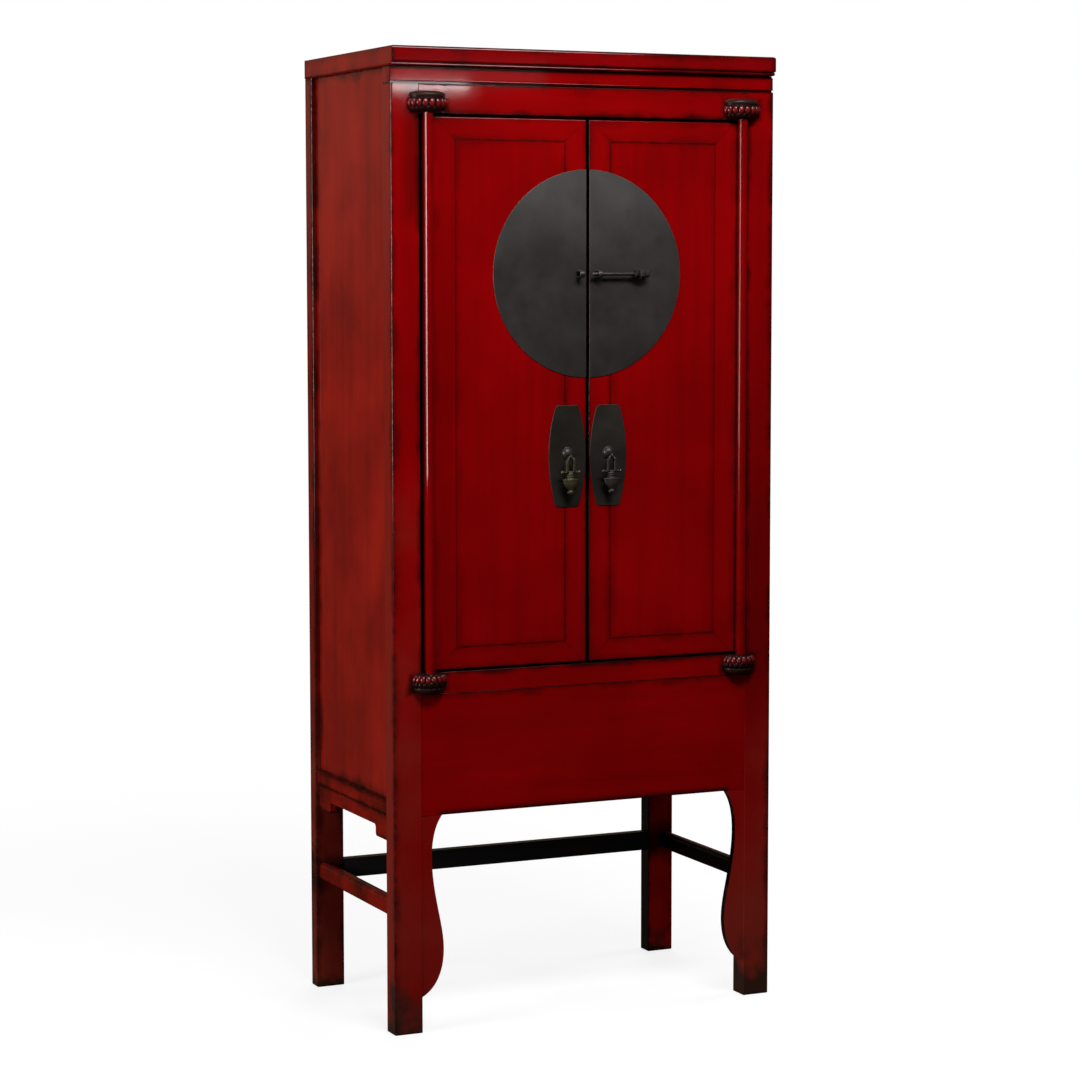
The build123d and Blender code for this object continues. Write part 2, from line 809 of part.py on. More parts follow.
with BuildPart() as drawer_front:
    block(drawer_x, (drawer_y[0], drawer_box_y[0]), drawer_z)
    soften(Axis.X, arris, lambda centre: centre.Y < drawer_y[0] + arris)
    soften(Axis.Z, arris, lambda centre: centre.Y < drawer_y[0] + arris)
write_left_and_right(drawer_front, "drawer_front")

# an open tray: two sides, a back and a bottom
with BuildPart() as drawer_box:
    box_z = (drawer_z[0], drawer_z[1] - drawer_side_drop)
    box_x = grown(drawer_x, -drawer_side_thickness)
    block(drawer_x, drawer_box_y, box_z)
    block(
        box_x,
        (drawer_box_y[0], drawer_box_y[1] - drawer_side_thickness),
        (box_z[0] + drawer_bottom_thickness, box_z[1]),
        mode=Mode.SUBTRACT,
    )
write_left_and_right(drawer_box, "drawer_box")

# turned knob on a round rose
with BuildPart() as drawer_pull:
    knob_x = middle(drawer_x)
    knob_z = middle(drawer_z)
    rod(knob_x, drawer_y[0], knob_z, drawer_rose_diameter, drawer_rose_thickness, (0, -1, 0))
    rod(knob_x, drawer_y[0], knob_z, drawer_knob_neck, drawer_knob_reach / 2, (0, -1, 0))
    with Locations((knob_x, drawer_y[0] - drawer_knob_reach + drawer_knob_diameter / 2, knob_z)):
        Sphere(drawer_knob_diameter / 2)
write_left_and_right(drawer_pull, "drawer_pull")

# ================================================================ lotus brackets


def half_oval(z, half_length, reach):
    """Half an oval in plan, standing out from the front rail about the door's pole."""
    with BuildSketch(Plane.XY.offset(z)) as section:
        with Locations((-pole_x, front_y)):
            Ellipse(half_length, reach)
        with Locations((-pole_x, front_y + reach)):
            Rectangle(4 * half_length, 2 * reach, mode=Mode.SUBTRACT)
    return section.sketch


def add_lotus_bracket(bottom, outline, half_length, mouth_z, bore):
    """A petal-shaped seat for a pole's pivot: body, peg into the rail, and a blind bore."""
    sections = [
        half_oval(bottom + height * bracket_height, size * half_length, size * bracket_reach)
        for height, size in outline
    ]
    loft(sections, ruled=True)
    rod(-pole_x, front_y, bottom + bracket_height / 2, bracket_peg_diameter, bracket_peg_length)
    rod(
        -pole_x,
        pole_y,
        mouth_z,
        pivot_diameter + 2 * pivot_play,
        abs(bore),
        (0, 0, 1 if bore > 0 else -1),
        mode=Mode.SUBTRACT,
    )


with BuildPart() as upper_bracket:
    add_lotus_bracket(
        upper_bracket_bottom,
        upper_bracket_outline,
        upper_bracket_half_length,
        upper_bracket_bottom,
        upper_pivot_length + joint_play,
    )
write_as_pair(upper_bracket, "upper_lotus_brackets")

with BuildPart() as lower_bracket:
    add_lotus_bracket(
        sill_top - bracket_height,
        lower_bracket_outline,
        lower_bracket_half_length,
        sill_top,
        -lower_pivot_length - joint_play,
    )
write_as_pair(lower_bracket, "lower_lotus_brackets")

# ================================================================ doors: the left one, and its mirror image

door_panel_tongue = (
    grown(door_panel_x, door_tongue_length),
    (front_y + door_tongue_front, front_y + door_panel_thickness),
    grown(door_panel_z, door_tongue_length),
)
door_battens_spans = [
    (
        grown(door_panel_x, door_tongue_length),
        (front_y + door_panel_thickness, door_back_y),
        centred(centre_z, door_batten_height),
    )
    for centre_z in (door_panel_z[0] + door_batten_inset, door_panel_z[1] - door_batten_inset)
]
shank_hole = shank_diameter + joint_play


def add_frame_member(*points):
    """A mitred member of the door's frame, from its outline in x and z."""
    with BuildSketch(Plane.XZ.offset(-front_y)) as outline:
        with BuildLine():
            Polyline(*points, close=True)
        make_face()
    extrude(outline.sketch, amount=-door_thickness)


def soften_door_edge(axis, on_outline):
    """Round the front edges along an axis that lie on the door's outline."""
    soften(axis, door_edge_radius, lambda centre: centre.Y < front_y + arris and on_outline(centre))


def at_door_end(centre):
    """Whether a point lies on the top or bottom edge of the door."""
    return centre.Z < door_z[0] + arris or centre.Z > door_z[1] - arris


# the outer stile and the round pole that it turns on are one piece, with a pivot at each end
with BuildPart() as pole_stile:
    add_frame_member(
        (-door_outer_x, door_z[0]),
        (-mitre_x, door_z[0]),
        (-panel_side_x, door_panel_z[0]),
        (-panel_side_x, door_panel_z[1]),
        (-mitre_x, door_z[1]),
        (-door_outer_x, door_z[1]),
    )
    soften_door_edge(Axis.X, at_door_end)
    cut_seat(*door_panel_tongue)
    for batten in door_battens_spans:
        cut_seat(*batten)
    pole_z = (sill_top + pole_seat_gap, upper_bracket_bottom - pole_top_gap)
    pivot_z = (sill_top - lower_pivot_length, upper_bracket_bottom + upper_pivot_length - pole_top_gap)
    for diameter, z in ((pole_diameter, pole_z), (pivot_diameter, pivot_z)):
        rod(-pole_x, pole_y, z[0], diameter, z[1] - z[0], (0, 0, 1))
write_left_and_right(pole_stile, "door_pole_stile")

with BuildPart() as inner_stile:
    add_frame_member(
        (-door_inner_x, door_z[0]),
        (-panel_middle_x, door_panel_z[0]),
        (-panel_middle_x, door_panel_z[1]),
        (-door_inner_x, door_z[1]),
    )
    soften_door_edge(Axis.Z, lambda centre: centre.X > -door_inner_x - arris)
    cut_seat(*door_panel_tongue)
    for batten in door_battens_spans:
        cut_seat(*batten)
    rod(-staple_x, front_y, disc_centre_z, shank_hole, door_thickness, mode=Mode.SUBTRACT)
    rod(-handle_plate_centre_x, front_y, boss_z, shank_hole, door_thickness, mode=Mode.SUBTRACT)
write_left_and_right(inner_stile, "door_inner_stile")

with BuildPart() as door_rails:
    for outer_z, inner_z in zip(door_z, door_panel_z):
        add_frame_member(
            (-mitre_x, outer_z),
            (-door_inner_x, outer_z),
            (-panel_middle_x, inner_z),
            (-panel_side_x, inner_z),
        )
    soften_door_edge(Axis.X, at_door_end)
    cut_seat(*door_panel_tongue)
write_left_and_right(door_rails, "door_rails")

with BuildPart() as door_panel:
    panel_y = (front_y, front_y + door_panel_thickness)
    block(grown(door_panel_x, -door_panel_gap), panel_y, grown(door_panel_z, -door_panel_gap))
    block(*door_panel_tongue)
    rod(-handle_plate_centre_x, front_y, boss_z, shank_hole, door_thickness, mode=Mode.SUBTRACT)
write_left_and_right(door_panel, "door_panel")

with BuildPart() as door_battens:
    for batten in door_battens_spans:
        block(*batten)
write_left_and_right(door_battens, "door_battens")

# ================================================================ metal plates


def finish_plate(shank_x, shank_z):
    """Cut the sketched plate off beside the middle gap, give it thickness, a bevel and a shank hole."""
    extrude(amount=-plate_thickness)
    block(
        (-plate_inner_edge, disc_diameter),
        (plate_y, front_y),
        (0, overall_height),
        mode=Mode.SUBTRACT,
    )
    chamfer(faces().sort_by(Axis.Y)[0].outer_wire().edges(), length=plate_bevel)
    rod(shank_x, plate_y, shank_z, shank_hole, plate_thickness, mode=Mode.SUBTRACT)


with BuildPart() as half_disc:
    with BuildSketch(Plane.XZ.offset(-plate_y)):
        with Locations((0, disc_centre_z)):
            Circle(disc_diameter / 2)
    finish_plate(-staple_x, disc_centre_z)
write_left_and_right(half_disc, "half_disc")

with BuildPart() as handle_plate:
    with BuildSketch(Plane.XZ.offset(-plate_y)):
        with BuildLine():
            centre_x = -handle_plate_centre_x
            end_x = centred(centre_x, handle_plate_end_width)
            bulge_x = centred(centre_x, handle_plate_width)
            end_z = centred(handle_plate_centre_z, handle_plate_height)
            Line((end_x[0], end_z[1]), (end_x[1], end_z[1]))
            ThreePointArc((end_x[1], end_z[1]), (bulge_x[1], handle_plate_centre_z), (end_x[1], end_z[0]))
            Line((end_x[1], end_z[0]), (end_x[0], end_z[0]))
            ThreePointArc((end_x[0], end_z[0]), (bulge_x[0], handle_plate_centre_z), (end_x[0], end_z[1]))
        make_face()
        fillet(vertices(), radius=handle_plate_corner)
    finish_plate(centre_x, boss_z)
write_left_and_right(handle_plate, "handle_plate")

# ================================================================ lock staples and pin


def add_shank(x, z):
    """A shank through plate and door, with its end clinched behind the door."""
    rod(x, plate_y, z, shank_diameter, door_back_y - plate_y)
    rod(x, door_back_y, z, clinch_diameter, clinch_thickness)


with BuildPart() as lock_staple:
    staple_radius = pin_diameter / 2 + pin_play + staple_wall
    with BuildSketch(Plane.YZ.offset(-staple_x - staple_width / 2)):
        with Locations((pin_y, disc_centre_z)):
            Circle(staple_radius)
        with Locations((middle((pin_y, plate_y)), disc_centre_z)):
            Rectangle(plate_y - pin_y, staple_radius)
        with Locations((pin_y, disc_centre_z)):
            Circle(pin_diameter / 2 + pin_play, mode=Mode.SUBTRACT)
    extrude(amount=staple_width)
    add_shank(-staple_x, disc_centre_z)
write_left_and_right(lock_staple, "lock_staple")

# the pin is drawn clear of the left staple, so that both doors are free
with BuildPart() as lock_pin:
    rod(pin_tip_x, pin_y, disc_centre_z, pin_diameter, pin_length, (1, 0, 0))
    chamfer(faces().sort_by(Axis.X)[0].edges(), length=pin_tip_chamfer)
    head_x = (pin_tip_x + pin_length, pin_tip_x + pin_length + pin_head_length)
    block(head_x, centred(pin_y, pin_head_size), centred(disc_centre_z, pin_head_size))
    chamfer(edges().filter_by(GeomType.LINE), length=pin_head_chamfer)
write(lock_pin, "lock_pin")

# ================================================================ pulls

pull_x = -handle_plate_centre_x

# domed boss, with a wire eye in front of it and a shank behind
with BuildPart() as pull_boss:
    with BuildSketch(Plane(origin=(pull_x, plate_y, boss_z), x_dir=(1, 0, 0), z_dir=(0, 0, 1))):
        with BuildLine():
            Polyline((0, -boss_height), (0, 0), (boss_diameter / 2, 0))
            ThreePointArc(
                (boss_diameter / 2, 0),
                (0.72 * boss_diameter / 2, -0.68 * boss_height),
                (0, -boss_height),
            )
        make_face()
    revolve(axis=Axis((pull_x, plate_y, boss_z), (0, 1, 0)))
    eye_hole = pull_bar_diameter / 2 + eye_play
    eye_rim = eye_hole + eye_wire
    with BuildSketch(Plane.YZ.offset(pull_x - eye_wire / 2)):
        with BuildLine():
            Polyline(
                (pull_y, pull_hinge_z + eye_rim),
                (pull_y, pull_hinge_z),
                (plate_y, boss_z - eye_wire),
                (plate_y, boss_z + eye_wire),
                close=True,
            )
        make_face()
        with Locations((pull_y, pull_hinge_z)):
            Circle(eye_rim)
            Circle(eye_hole, mode=Mode.SUBTRACT)
    extrude(amount=eye_wire)
    add_shank(pull_x, boss_z)
write_left_and_right(pull_boss, "pull_boss")

# hanging drop: round bar in the eye, slotted arch, cross bar with ball ends, neck, cup and foot
with BuildPart() as pull_drop:
    arch_top = pull_hinge_z + pull_bar_diameter / 2
    crossbar_z = pull_hinge_z - pull_crossbar_drop
    neck_z = (crossbar_z - pull_neck_height, crossbar_z)
    cup_z = (neck_z[0] - pull_cup_height, neck_z[0])
    slot_z = (arch_top - pull_slot_height, arch_top)
    with BuildSketch(Plane.XZ.offset(pull_thickness / 2 - pull_y)):
        with Locations((pull_x, arch_top - pull_arch_width / 2)):
            Circle(pull_arch_width / 2)
        with Locations((pull_x, middle((crossbar_z, arch_top - pull_arch_width / 2)))):
            Rectangle(pull_arch_width, arch_top - pull_arch_width / 2 - crossbar_z)
        with Locations((pull_x, middle(neck_z))):
            Rectangle(pull_neck_width, pull_neck_height)
        with Locations((pull_x, middle(slot_z))):
            Rectangle(pull_slot_width, pull_slot_height, mode=Mode.SUBTRACT)
    extrude(amount=-pull_thickness)
    bar_start = pull_x - pull_slot_width
    rod(bar_start, pull_y, pull_hinge_z, pull_bar_diameter, 2 * pull_slot_width, (1, 0, 0))
    bar_start = pull_x - pull_crossbar_length / 2
    rod(bar_start, pull_y, crossbar_z, pull_crossbar_diameter, pull_crossbar_length, (1, 0, 0))
    with Locations((bar_start, pull_y, crossbar_z), (bar_start + pull_crossbar_length, pull_y, crossbar_z)):
        Sphere(pull_ball_diameter / 2, rotation=(0, 0, 90))
    for z, width, depth in (
        (cup_z[1], pull_cup_width, pull_cup_depth),
        (cup_z[0], pull_foot_width, pull_foot_depth),
    ):
        with BuildSketch(Plane.XY.offset(z)):
            with Locations((pull_x, pull_y)):
                Ellipse(width / 2, depth / 2)
    loft()
    with Locations((pull_x, pull_y, cup_z[0] - pull_foot_ball / 4)):
        Sphere(pull_foot_ball / 2)
write_left_and_right(pull_drop, "pull_drop")
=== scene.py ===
"""Looks of a red-lacquered wedding cabinet: its finishes, carved and cast pieces, studio and camera."""

import json
import logging
import math
from dataclasses import dataclass
from enum import Enum
from typing import Any, Sequence

import bpy
import numpy as np
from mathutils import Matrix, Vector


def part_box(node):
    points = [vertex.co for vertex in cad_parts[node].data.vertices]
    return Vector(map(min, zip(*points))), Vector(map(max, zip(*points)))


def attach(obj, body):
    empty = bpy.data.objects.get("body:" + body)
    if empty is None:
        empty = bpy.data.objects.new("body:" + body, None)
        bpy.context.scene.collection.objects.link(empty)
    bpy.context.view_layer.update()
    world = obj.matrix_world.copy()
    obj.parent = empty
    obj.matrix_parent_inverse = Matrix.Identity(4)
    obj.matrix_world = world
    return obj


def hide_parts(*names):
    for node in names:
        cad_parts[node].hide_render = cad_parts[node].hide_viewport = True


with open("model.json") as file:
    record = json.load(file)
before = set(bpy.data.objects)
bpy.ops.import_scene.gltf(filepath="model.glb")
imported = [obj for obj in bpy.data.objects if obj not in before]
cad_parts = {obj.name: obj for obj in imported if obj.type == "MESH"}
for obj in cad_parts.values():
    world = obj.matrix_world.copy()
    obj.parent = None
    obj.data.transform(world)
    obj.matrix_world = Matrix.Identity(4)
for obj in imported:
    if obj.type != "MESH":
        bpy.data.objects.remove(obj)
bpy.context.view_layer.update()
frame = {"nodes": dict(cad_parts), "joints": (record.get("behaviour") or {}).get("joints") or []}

MM = 0.001

logging.basicConfig(level=logging.INFO, format="%(name)s: %(message)s")
log = logging.getLogger("cabinet")


# ---------- places in the frame, in millimetres


def corners(node: str) -> tuple[np.ndarray, np.ndarray]:
    """A node's lowest and highest corners."""
    low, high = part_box(node)
    return np.array(low) / MM, np.array(high) / MM


def joint_place(name: str) -> np.ndarray:
    """The place of a joint."""
    return np.array(next(joint["pos_m"] for joint in frame["joints"] if joint["name"] == name)) / MM


STOP_LIP = 12.0  # the head and sill rails reach this far behind the doors
POLE_X, POLE_Y = joint_place("right_door_hinge")[:2].tolist()
PLATE_Y, FRONT_Y = (float(corner[1]) for corner in corners("left_handle_plate"))
DOOR_BACK_Y = float(corners("left_door_rails")[1][1])
HEAD_BOTTOM = float(corners("door_head_rail")[0][2]) + STOP_LIP
SILL_TOP = float(corners("door_sill_rail")[1][2]) - STOP_LIP


# ---------- colours and nodes

MATH, VECTOR, NOISE = "ShaderNodeMath", "ShaderNodeVectorMath", "ShaderNodeTexNoise"
RANGE, MIX, MAPPING = "ShaderNodeMapRange", "ShaderNodeMix", "ShaderNodeMapping"
COORDINATES, SEPARATE, BUMP = "ShaderNodeTexCoord", "ShaderNodeSeparateXYZ", "ShaderNodeBump"
PRINCIPLED, OUTPUT, ATTRIBUTE = "ShaderNodeBsdfPrincipled", "ShaderNodeOutputMaterial", "ShaderNodeAttribute"
FACTOR, FIRST, SECOND, MIXED = 0, 6, 7, 2  # sockets of a Mix node that mixes colours
RELIEF = "relief"
SWING, FULL_BELOW, GONE_BELOW = 3.6, 2.2, 0.3  # of a fading mask, in reaches


def linear(hex_colour: str) -> tuple[float, float, float, float]:
    """Turn an sRGB hex colour into linear light.

    Args:
        hex_colour: six hex digits after a hash sign.

    Returns:
        Linear red, green and blue, and an alpha of one.
    """
    srgb = np.array([int(hex_colour[i:i + 2], 16) for i in (1, 3, 5)]) / 255
    light = np.where(srgb <= 0.04045, srgb / 12.92, ((srgb + 0.055) / 1.055) ** 2.4)
    return (*light.tolist(), 1.0)


class Recipe:
    """A node tree while it is written down."""

    def __init__(self, owner: bpy.types.Material | bpy.types.World) -> None:
        """Start with an empty tree.

        Args:
            owner: the material or world that holds the tree.
        """
        owner.use_nodes = True
        self.owner, self.tree = owner, owner.node_tree
        self.tree.nodes.clear()

    def add(self, kind: str, inputs: dict[int | str, Any] | None = None, out: int | str | None = 0,
            **settings: Any) -> Any:
        """Add a node with its settings, its values and its links.

        Args:
            kind: the node's type name.
            inputs: for each input, a value or the socket that feeds it.
            out: the output to return, or None for the node itself.
            settings: the node's own properties.

        Returns:
            The output socket asked for, or the node.
        """
        node = self.tree.nodes.new(kind)
        for name, value in settings.items():
            setattr(node, name, value)
        for name, value in (inputs or {}).items():
            if isinstance(value, bpy.types.NodeSocket):
                self.tree.links.new(value, node.inputs[name])
            else:
                node.inputs[name].default_value = value
        return node if out is None else node.outputs[out]

    def paint(self, ground: Any, *layers: tuple[Any, str]) -> Any:
        """Lay tints over a ground colour, one after another, each as strong as its mask.

        Args:
            ground: the colour under all of them.
            layers: each tint's mask and hex colour.

        Returns:
            The painted colour.
        """
        for mask, tint in layers:
            inputs = {FACTOR: mask, FIRST: ground, SECOND: linear(tint)}
            ground = self.add(MIX, inputs, MIXED, data_type="RGBA")
        return ground

    def fade(self, distance: Any, noise: Any, reach_mm: float, strength: float) -> Any:
        """Make a mask that is strong where a distance is small and ends raggedly.

        The noise, times the swing, is taken off the distance. The mask goes smoothly from full to nothing
        while the rest rises between two limits below zero, so that with even noise it ends at 1.5 reaches.

        Args:
            distance: the distance in metres.
            noise: noise about one half.
            reach_mm: the reach.
            strength: the mask's largest value.

        Returns:
            The mask.
        """
        reach = reach_mm * MM
        uneven = self.add(MATH, {0: noise, 1: -SWING * reach, 2: distance}, operation="MULTIPLY_ADD")
        return self.add(RANGE, {"Value": uneven, "From Min": -FULL_BELOW * reach,
                                "From Max": -GONE_BELOW * reach, "To Min": strength, "To Max": 0.0},
                        interpolation_type="SMOOTHSTEP")

    def finished(self, inputs: dict[int | str, Any]) -> bpy.types.Material:
        """Put one principled shader on the surface.

        Args:
            inputs: the shader's values and links.

        Returns:
            The material.
        """
        self.add(OUTPUT, {"Surface": self.add(PRINCIPLED, inputs)}, None)
        return self.owner


# ---------- where a wooden piece is worn, dirty and painted with shade


class Grain(Enum):
    """The way that a piece's wood runs, as how much each axis is stretched in its grain."""

    UPRIGHT = (1.0, 1.0, 0.045)
    ACROSS = (0.045, 1.0, 1.0)
    DEEP = (1.0, 0.045, 1.0)


@dataclass(frozen=True)
class Reveal:
    """What of a node's box is hidden in its neighbours, in millimetres, and how a group of solids is folded.

    A node with a left and a right solid, or an upper and a lower one, is folded about its middle, so that
    both have the same distances to their own edges.
    """

    x: tuple[float, float] = (0.0, 0.0)
    y: tuple[float, float] = (0.0, 0.0)
    z: tuple[float, float] = (0.0, 0.0)
    fold_x: bool = False
    fold_z: bool = False

    def mirrored(self) -> "Reveal":
        """The same on the other side of the middle plane."""
        return Reveal((self.x[1], self.x[0]), self.y, self.z, self.fold_x, self.fold_z)

    def edge_distance(self, recipe: Recipe, place: Any, mesh: bpy.types.Mesh) -> tuple[Any, Any]:
        """Measure how far a point of the skin is from the nearest edge of the visible box.

        Along each axis the distance is the smaller one to the box's two faces. A point of the skin has one of
        these near zero, so the middle one of the three is its distance from an edge. A point that stands
        out of the box, such as one on the door's pole, counts its distance from the face on the outside.

        Args:
            recipe: the node tree.
            place: the object's coordinates.
            mesh: the node's mesh.

        Returns:
            The distance in metres, and the place measured from the centre of folding.
        """
        points = np.empty(len(mesh.vertices) * 3, np.float32)
        mesh.vertices.foreach_get("co", points)
        points = points.reshape(-1, 3).astype(float)
        low, high = points.min(0), points.max(0)
        centre = np.where([self.fold_x, False, self.fold_z], (low + high) / 2, low - 1.0)
        hidden = np.array([self.x, self.y, self.z]) * MM
        folded_points = np.abs(points - centre)
        low, high = folded_points.min(0) + hidden[:, 0], folded_points.max(0) - hidden[:, 1]
        add = recipe.add
        moved = add(VECTOR, {0: place, 1: centre.tolist()}, operation="SUBTRACT")
        folded = add(VECTOR, {0: moved}, operation="ABSOLUTE")
        from_low = add(VECTOR, {0: folded, 1: low.tolist()}, operation="SUBTRACT")
        from_high = add(VECTOR, {0: high.tolist(), 1: folded}, operation="SUBTRACT")
        inner = add(VECTOR, {0: from_low, 1: from_high}, operation="MINIMUM")
        x, y, z = add(SEPARATE, {0: add(VECTOR, {0: inner}, operation="ABSOLUTE")}, None).outputs
        smaller = add(MATH, {0: x, 1: y}, operation="MINIMUM")
        larger = add(MATH, {0: x, 1: y}, operation="MAXIMUM")
        middle = add(MATH, {0: larger, 1: z}, operation="MINIMUM")
        return add(MATH, {0: smaller, 1: middle}, operation="MAXIMUM"), moved


@dataclass(frozen=True)
class Frontage:
    """A rectangle seen from the front, in and round which the lacquer is painted black, at both sides alike.

    Mostly this is painted shade, in recesses, gaps and under mouldings; along mitres it is dark joint lines.
    Sizes in millimetres, from the middle plane and the floor. A smooth one has no ragged border. Of a mitred
    one, only the lines that go out at 45 degrees from its corners are dark.
    """

    x: float
    z: float
    half_width: float
    half_height: float
    reach: float = 10.0
    strength: float = 0.8
    smooth: bool = False
    mitred: bool = False

    def distance(self, add: Any, mirrored: Any) -> Any:
        """Measure how far a place is outside the rectangle, the larger one of its overhangs in x and z.

        Args:
            add: the recipe's function for a new node.
            mirrored: the place, with x turned positive.

        Returns:
            The distance in metres, negative inside, or from the mitre the difference of the two overhangs.
        """
        from_middle = add(VECTOR, {0: mirrored, 1: (self.x * MM, 0.0, self.z * MM)}, operation="SUBTRACT")
        outward = add(VECTOR, {0: from_middle}, operation="ABSOLUTE")
        half = (self.half_width * MM, 0.0, self.half_height * MM)
        x, _, z = add(SEPARATE, {0: add(VECTOR, {0: outward, 1: half}, operation="SUBTRACT")}, None).outputs
        if not self.mitred:
            return add(MATH, {0: x, 1: z}, operation="MAXIMUM")
        return add(MATH, {0: add(MATH, {0: x, 1: z}, operation="SUBTRACT")}, operation="ABSOLUTE")


# ---------- finishes


@dataclass(frozen=True)
class Lacquer:
    """Oil lacquer brushed over wood, rubbed through to its dark undercoat at arrises, dirty in joints, and
    painted darker near its edges as shade in joints and recesses.

    The colour lies deep under a clear, polished top coat, which alone gives the reflections.
    """

    name: str
    bright: str = "#a30307"
    deep: str = "#900205"
    # the near-black under the red, shown where arrises are worn through, and also used for grime and for
    # painted shade
    undercoat: str = "#140705"
    # the black of faces inside the cabinet, also painted on the doors' edges in the gaps as shade
    inside: str = "#0c0504"
    coat: float = 0.95
    rubbed_coat: float = 0.15
    coat_roughness: float = 0.045
    rubbed_roughness: float = 0.3
    streaks: float = 0.16
    mottle_mm: float = 260.0
    streak_mm: float = 24.0
    ragged_mm: float = 15.0
    smear_mm: float = 60.0
    edge_mm: float = 2.6
    grime_and_shade_mm: float = 11.0
    wave_mm: float = 55.0
    wave_depth_mm: float = 0.017
    brush_depth_mm: float = 0.0024
    flank: str = ""
    legs: str = ""
    legs_mm: float = 620.0
    legs_strength: float = 0.9
    foot: str = "#3f261f"
    foot_mm: float = 80.0
    foot_strength: float = 1.8

    def material(self, dress: "Dress", mesh: bpy.types.Mesh) -> bpy.types.Material:
        """Make this lacquer for one wooden piece.

        Args:
            dress: how the piece is finished.
            mesh: the piece's mesh, whose box says where its edges are.

        Returns:
            The material.
        """
        recipe = Recipe(bpy.data.materials.new(f"{self.name}.{dress.node}"))
        add, fade = recipe.add, recipe.fade
        seat = add(COORDINATES, out=None)
        place, normal = seat.outputs["Object"], seat.outputs["Normal"]
        along = add(MAPPING, {"Vector": place, "Scale": dress.grain.value})
        x, y, height = add(SEPARATE, {0: place}, None).outputs
        distance, moved = dress.reveal.edge_distance(recipe, place, mesh)
        mottle, streak, ragged, smear = (
            add(NOISE, {"Vector": where, "Scale": 1 / (size_mm * MM), "Detail": detail, "Roughness": rough})
            for where, size_mm, detail, rough in (
                (place, self.mottle_mm, 3.0, 0.55), (along, self.streak_mm, 4.0, 0.5),
                (place, self.ragged_mm, 6.0, 0.7), (place, self.smear_mm, 3.0, 0.5),
            )
        )
        patches = add(RANGE, {"Value": mottle, "From Min": 0.36, "From Max": 0.64})
        lines = add(RANGE, {"Value": streak, "From Min": 0.4, "From Max": 0.7, "To Max": self.streaks})
        layers = [(patches, self.bright), (lines, self.undercoat)]
        if self.flank:
            sideways = add(MATH, {0: add(SEPARATE, {0: normal}, "X")}, operation="ABSOLUTE")
            layers.append((add(RANGE, {"Value": sideways, "From Min": 0.6, "From Max": 0.9}), self.flank))
        if self.legs:
            layers.append((fade(height, mottle, self.legs_mm, self.legs_strength), self.legs))
        # darker beside the edges: grime, and painted shade in joints and recesses
        layers.append((fade(distance, smear, self.grime_and_shade_mm, dress.dirt_and_shade), self.undercoat))
        if self.legs:
            layers.append((fade(height, smear, self.foot_mm, self.foot_strength), self.foot))
        mirrored = add(VECTOR, {0: place}, operation="ABSOLUTE")
        # rectangles painted in the undercoat's black: painted shade in recesses, gaps and under mouldings,
        # and dark joint lines along mitres
        for darkening in dress.painted_shade_and_joints:
            border = 0.5 if darkening.smooth else smear
            away = darkening.distance(add, mirrored)
            layers.append((fade(away, border, darkening.reach, darkening.strength), self.undercoat))
        worn = fade(distance, ragged, self.edge_mm, dress.wear)
        layers.append((worn, self.undercoat))
        # faces looking into the cabinet are black; on the doors' meeting stiles this also paints the faces in
        # the gap black as shade
        if dress.inward is not None:
            side = add(VECTOR, {0: moved}, operation="SIGN")
            turned_normal = add(VECTOR, {0: normal, 1: side}, operation="MULTIPLY")
            looks_in = add(VECTOR, {0: turned_normal, 1: dress.inward}, "Value", operation="DOT_PRODUCT")
            within = add(RANGE, {"Value": looks_in, "From Min": dress.inward_from,
                                 "From Max": dress.inward_from + 0.2})
            # behind that depth the piece is black all round: the door's back, and as painted shade its edges
            # seen in the gaps
            if dress.black_behind is not None:
                depth = add(MATH, {0: y, 1: dress.black_behind * MM}, operation="GREATER_THAN")
                within = add(MATH, {0: within, 1: depth}, operation="MAXIMUM")
            layers.append((within, self.inside))
        rubbed = add(RANGE, {"Value": worn, "To Min": self.coat_roughness,
                             "To Max": self.coat_roughness + self.rubbed_roughness})
        cover = add(RANGE, {"Value": worn, "To Min": self.coat, "To Max": self.coat * self.rubbed_coat})
        broad = add(NOISE, {"Vector": place, "Scale": 1 / (self.wave_mm * MM), "Detail": 1.5})
        waves = add(BUMP, {"Strength": 1.0, "Distance": self.wave_depth_mm * MM, "Height": broad})
        stroke = add(NOISE, {"Vector": along, "Scale": 2 / (self.streak_mm * MM), "Detail": 1.0})
        brushed = add(BUMP, {"Strength": 1.0, "Distance": self.brush_depth_mm * MM, "Height": stroke,
                             "Normal": waves})
        colour = recipe.paint(linear(self.deep), *layers)
        return recipe.finished({"Base Color": colour, "Roughness": 0.5, "IOR": 1.5, "Specular IOR Level": 0.0,
                                "Coat Weight": cover, "Coat Roughness": rubbed, "Coat IOR": 1.5,
                                "Coat Normal": brushed})


# Brushed and polished red lacquer: wet, deep and saturated, nearly black where hands wore it through.
RED_LACQUER = Lacquer("polished_red_lacquer")
# The same on the top's nose, darker.
TOP_LACQUER = Lacquer("darker_red_lacquer_top", "#92060a", "#810408")
# The same, gone dull where sleeves and cloths rub past it.
DULL_LACQUER = Lacquer("dulled_red_lacquer", coat=0.4, coat_roughness=0.12)
# The same on posts and legs: faded flanks, browner towards the floor and black where brooms hit the feet.
RED_LEG = Lacquer("polished_red_lacquer_legs", edge_mm=3.6, flank="#8f1d13", legs="#8a2c22")
# The same on a back post, darker and browner.
DARKER_BACK_LEG = Lacquer("darker_red_lacquer_legs", "#8c1a12", "#6b130e", edge_mm=3.6, flank="#84190f",
                     legs="#8a3023", mottle_mm=150.0, grime_and_shade_mm=12.0, foot_mm=30.0)
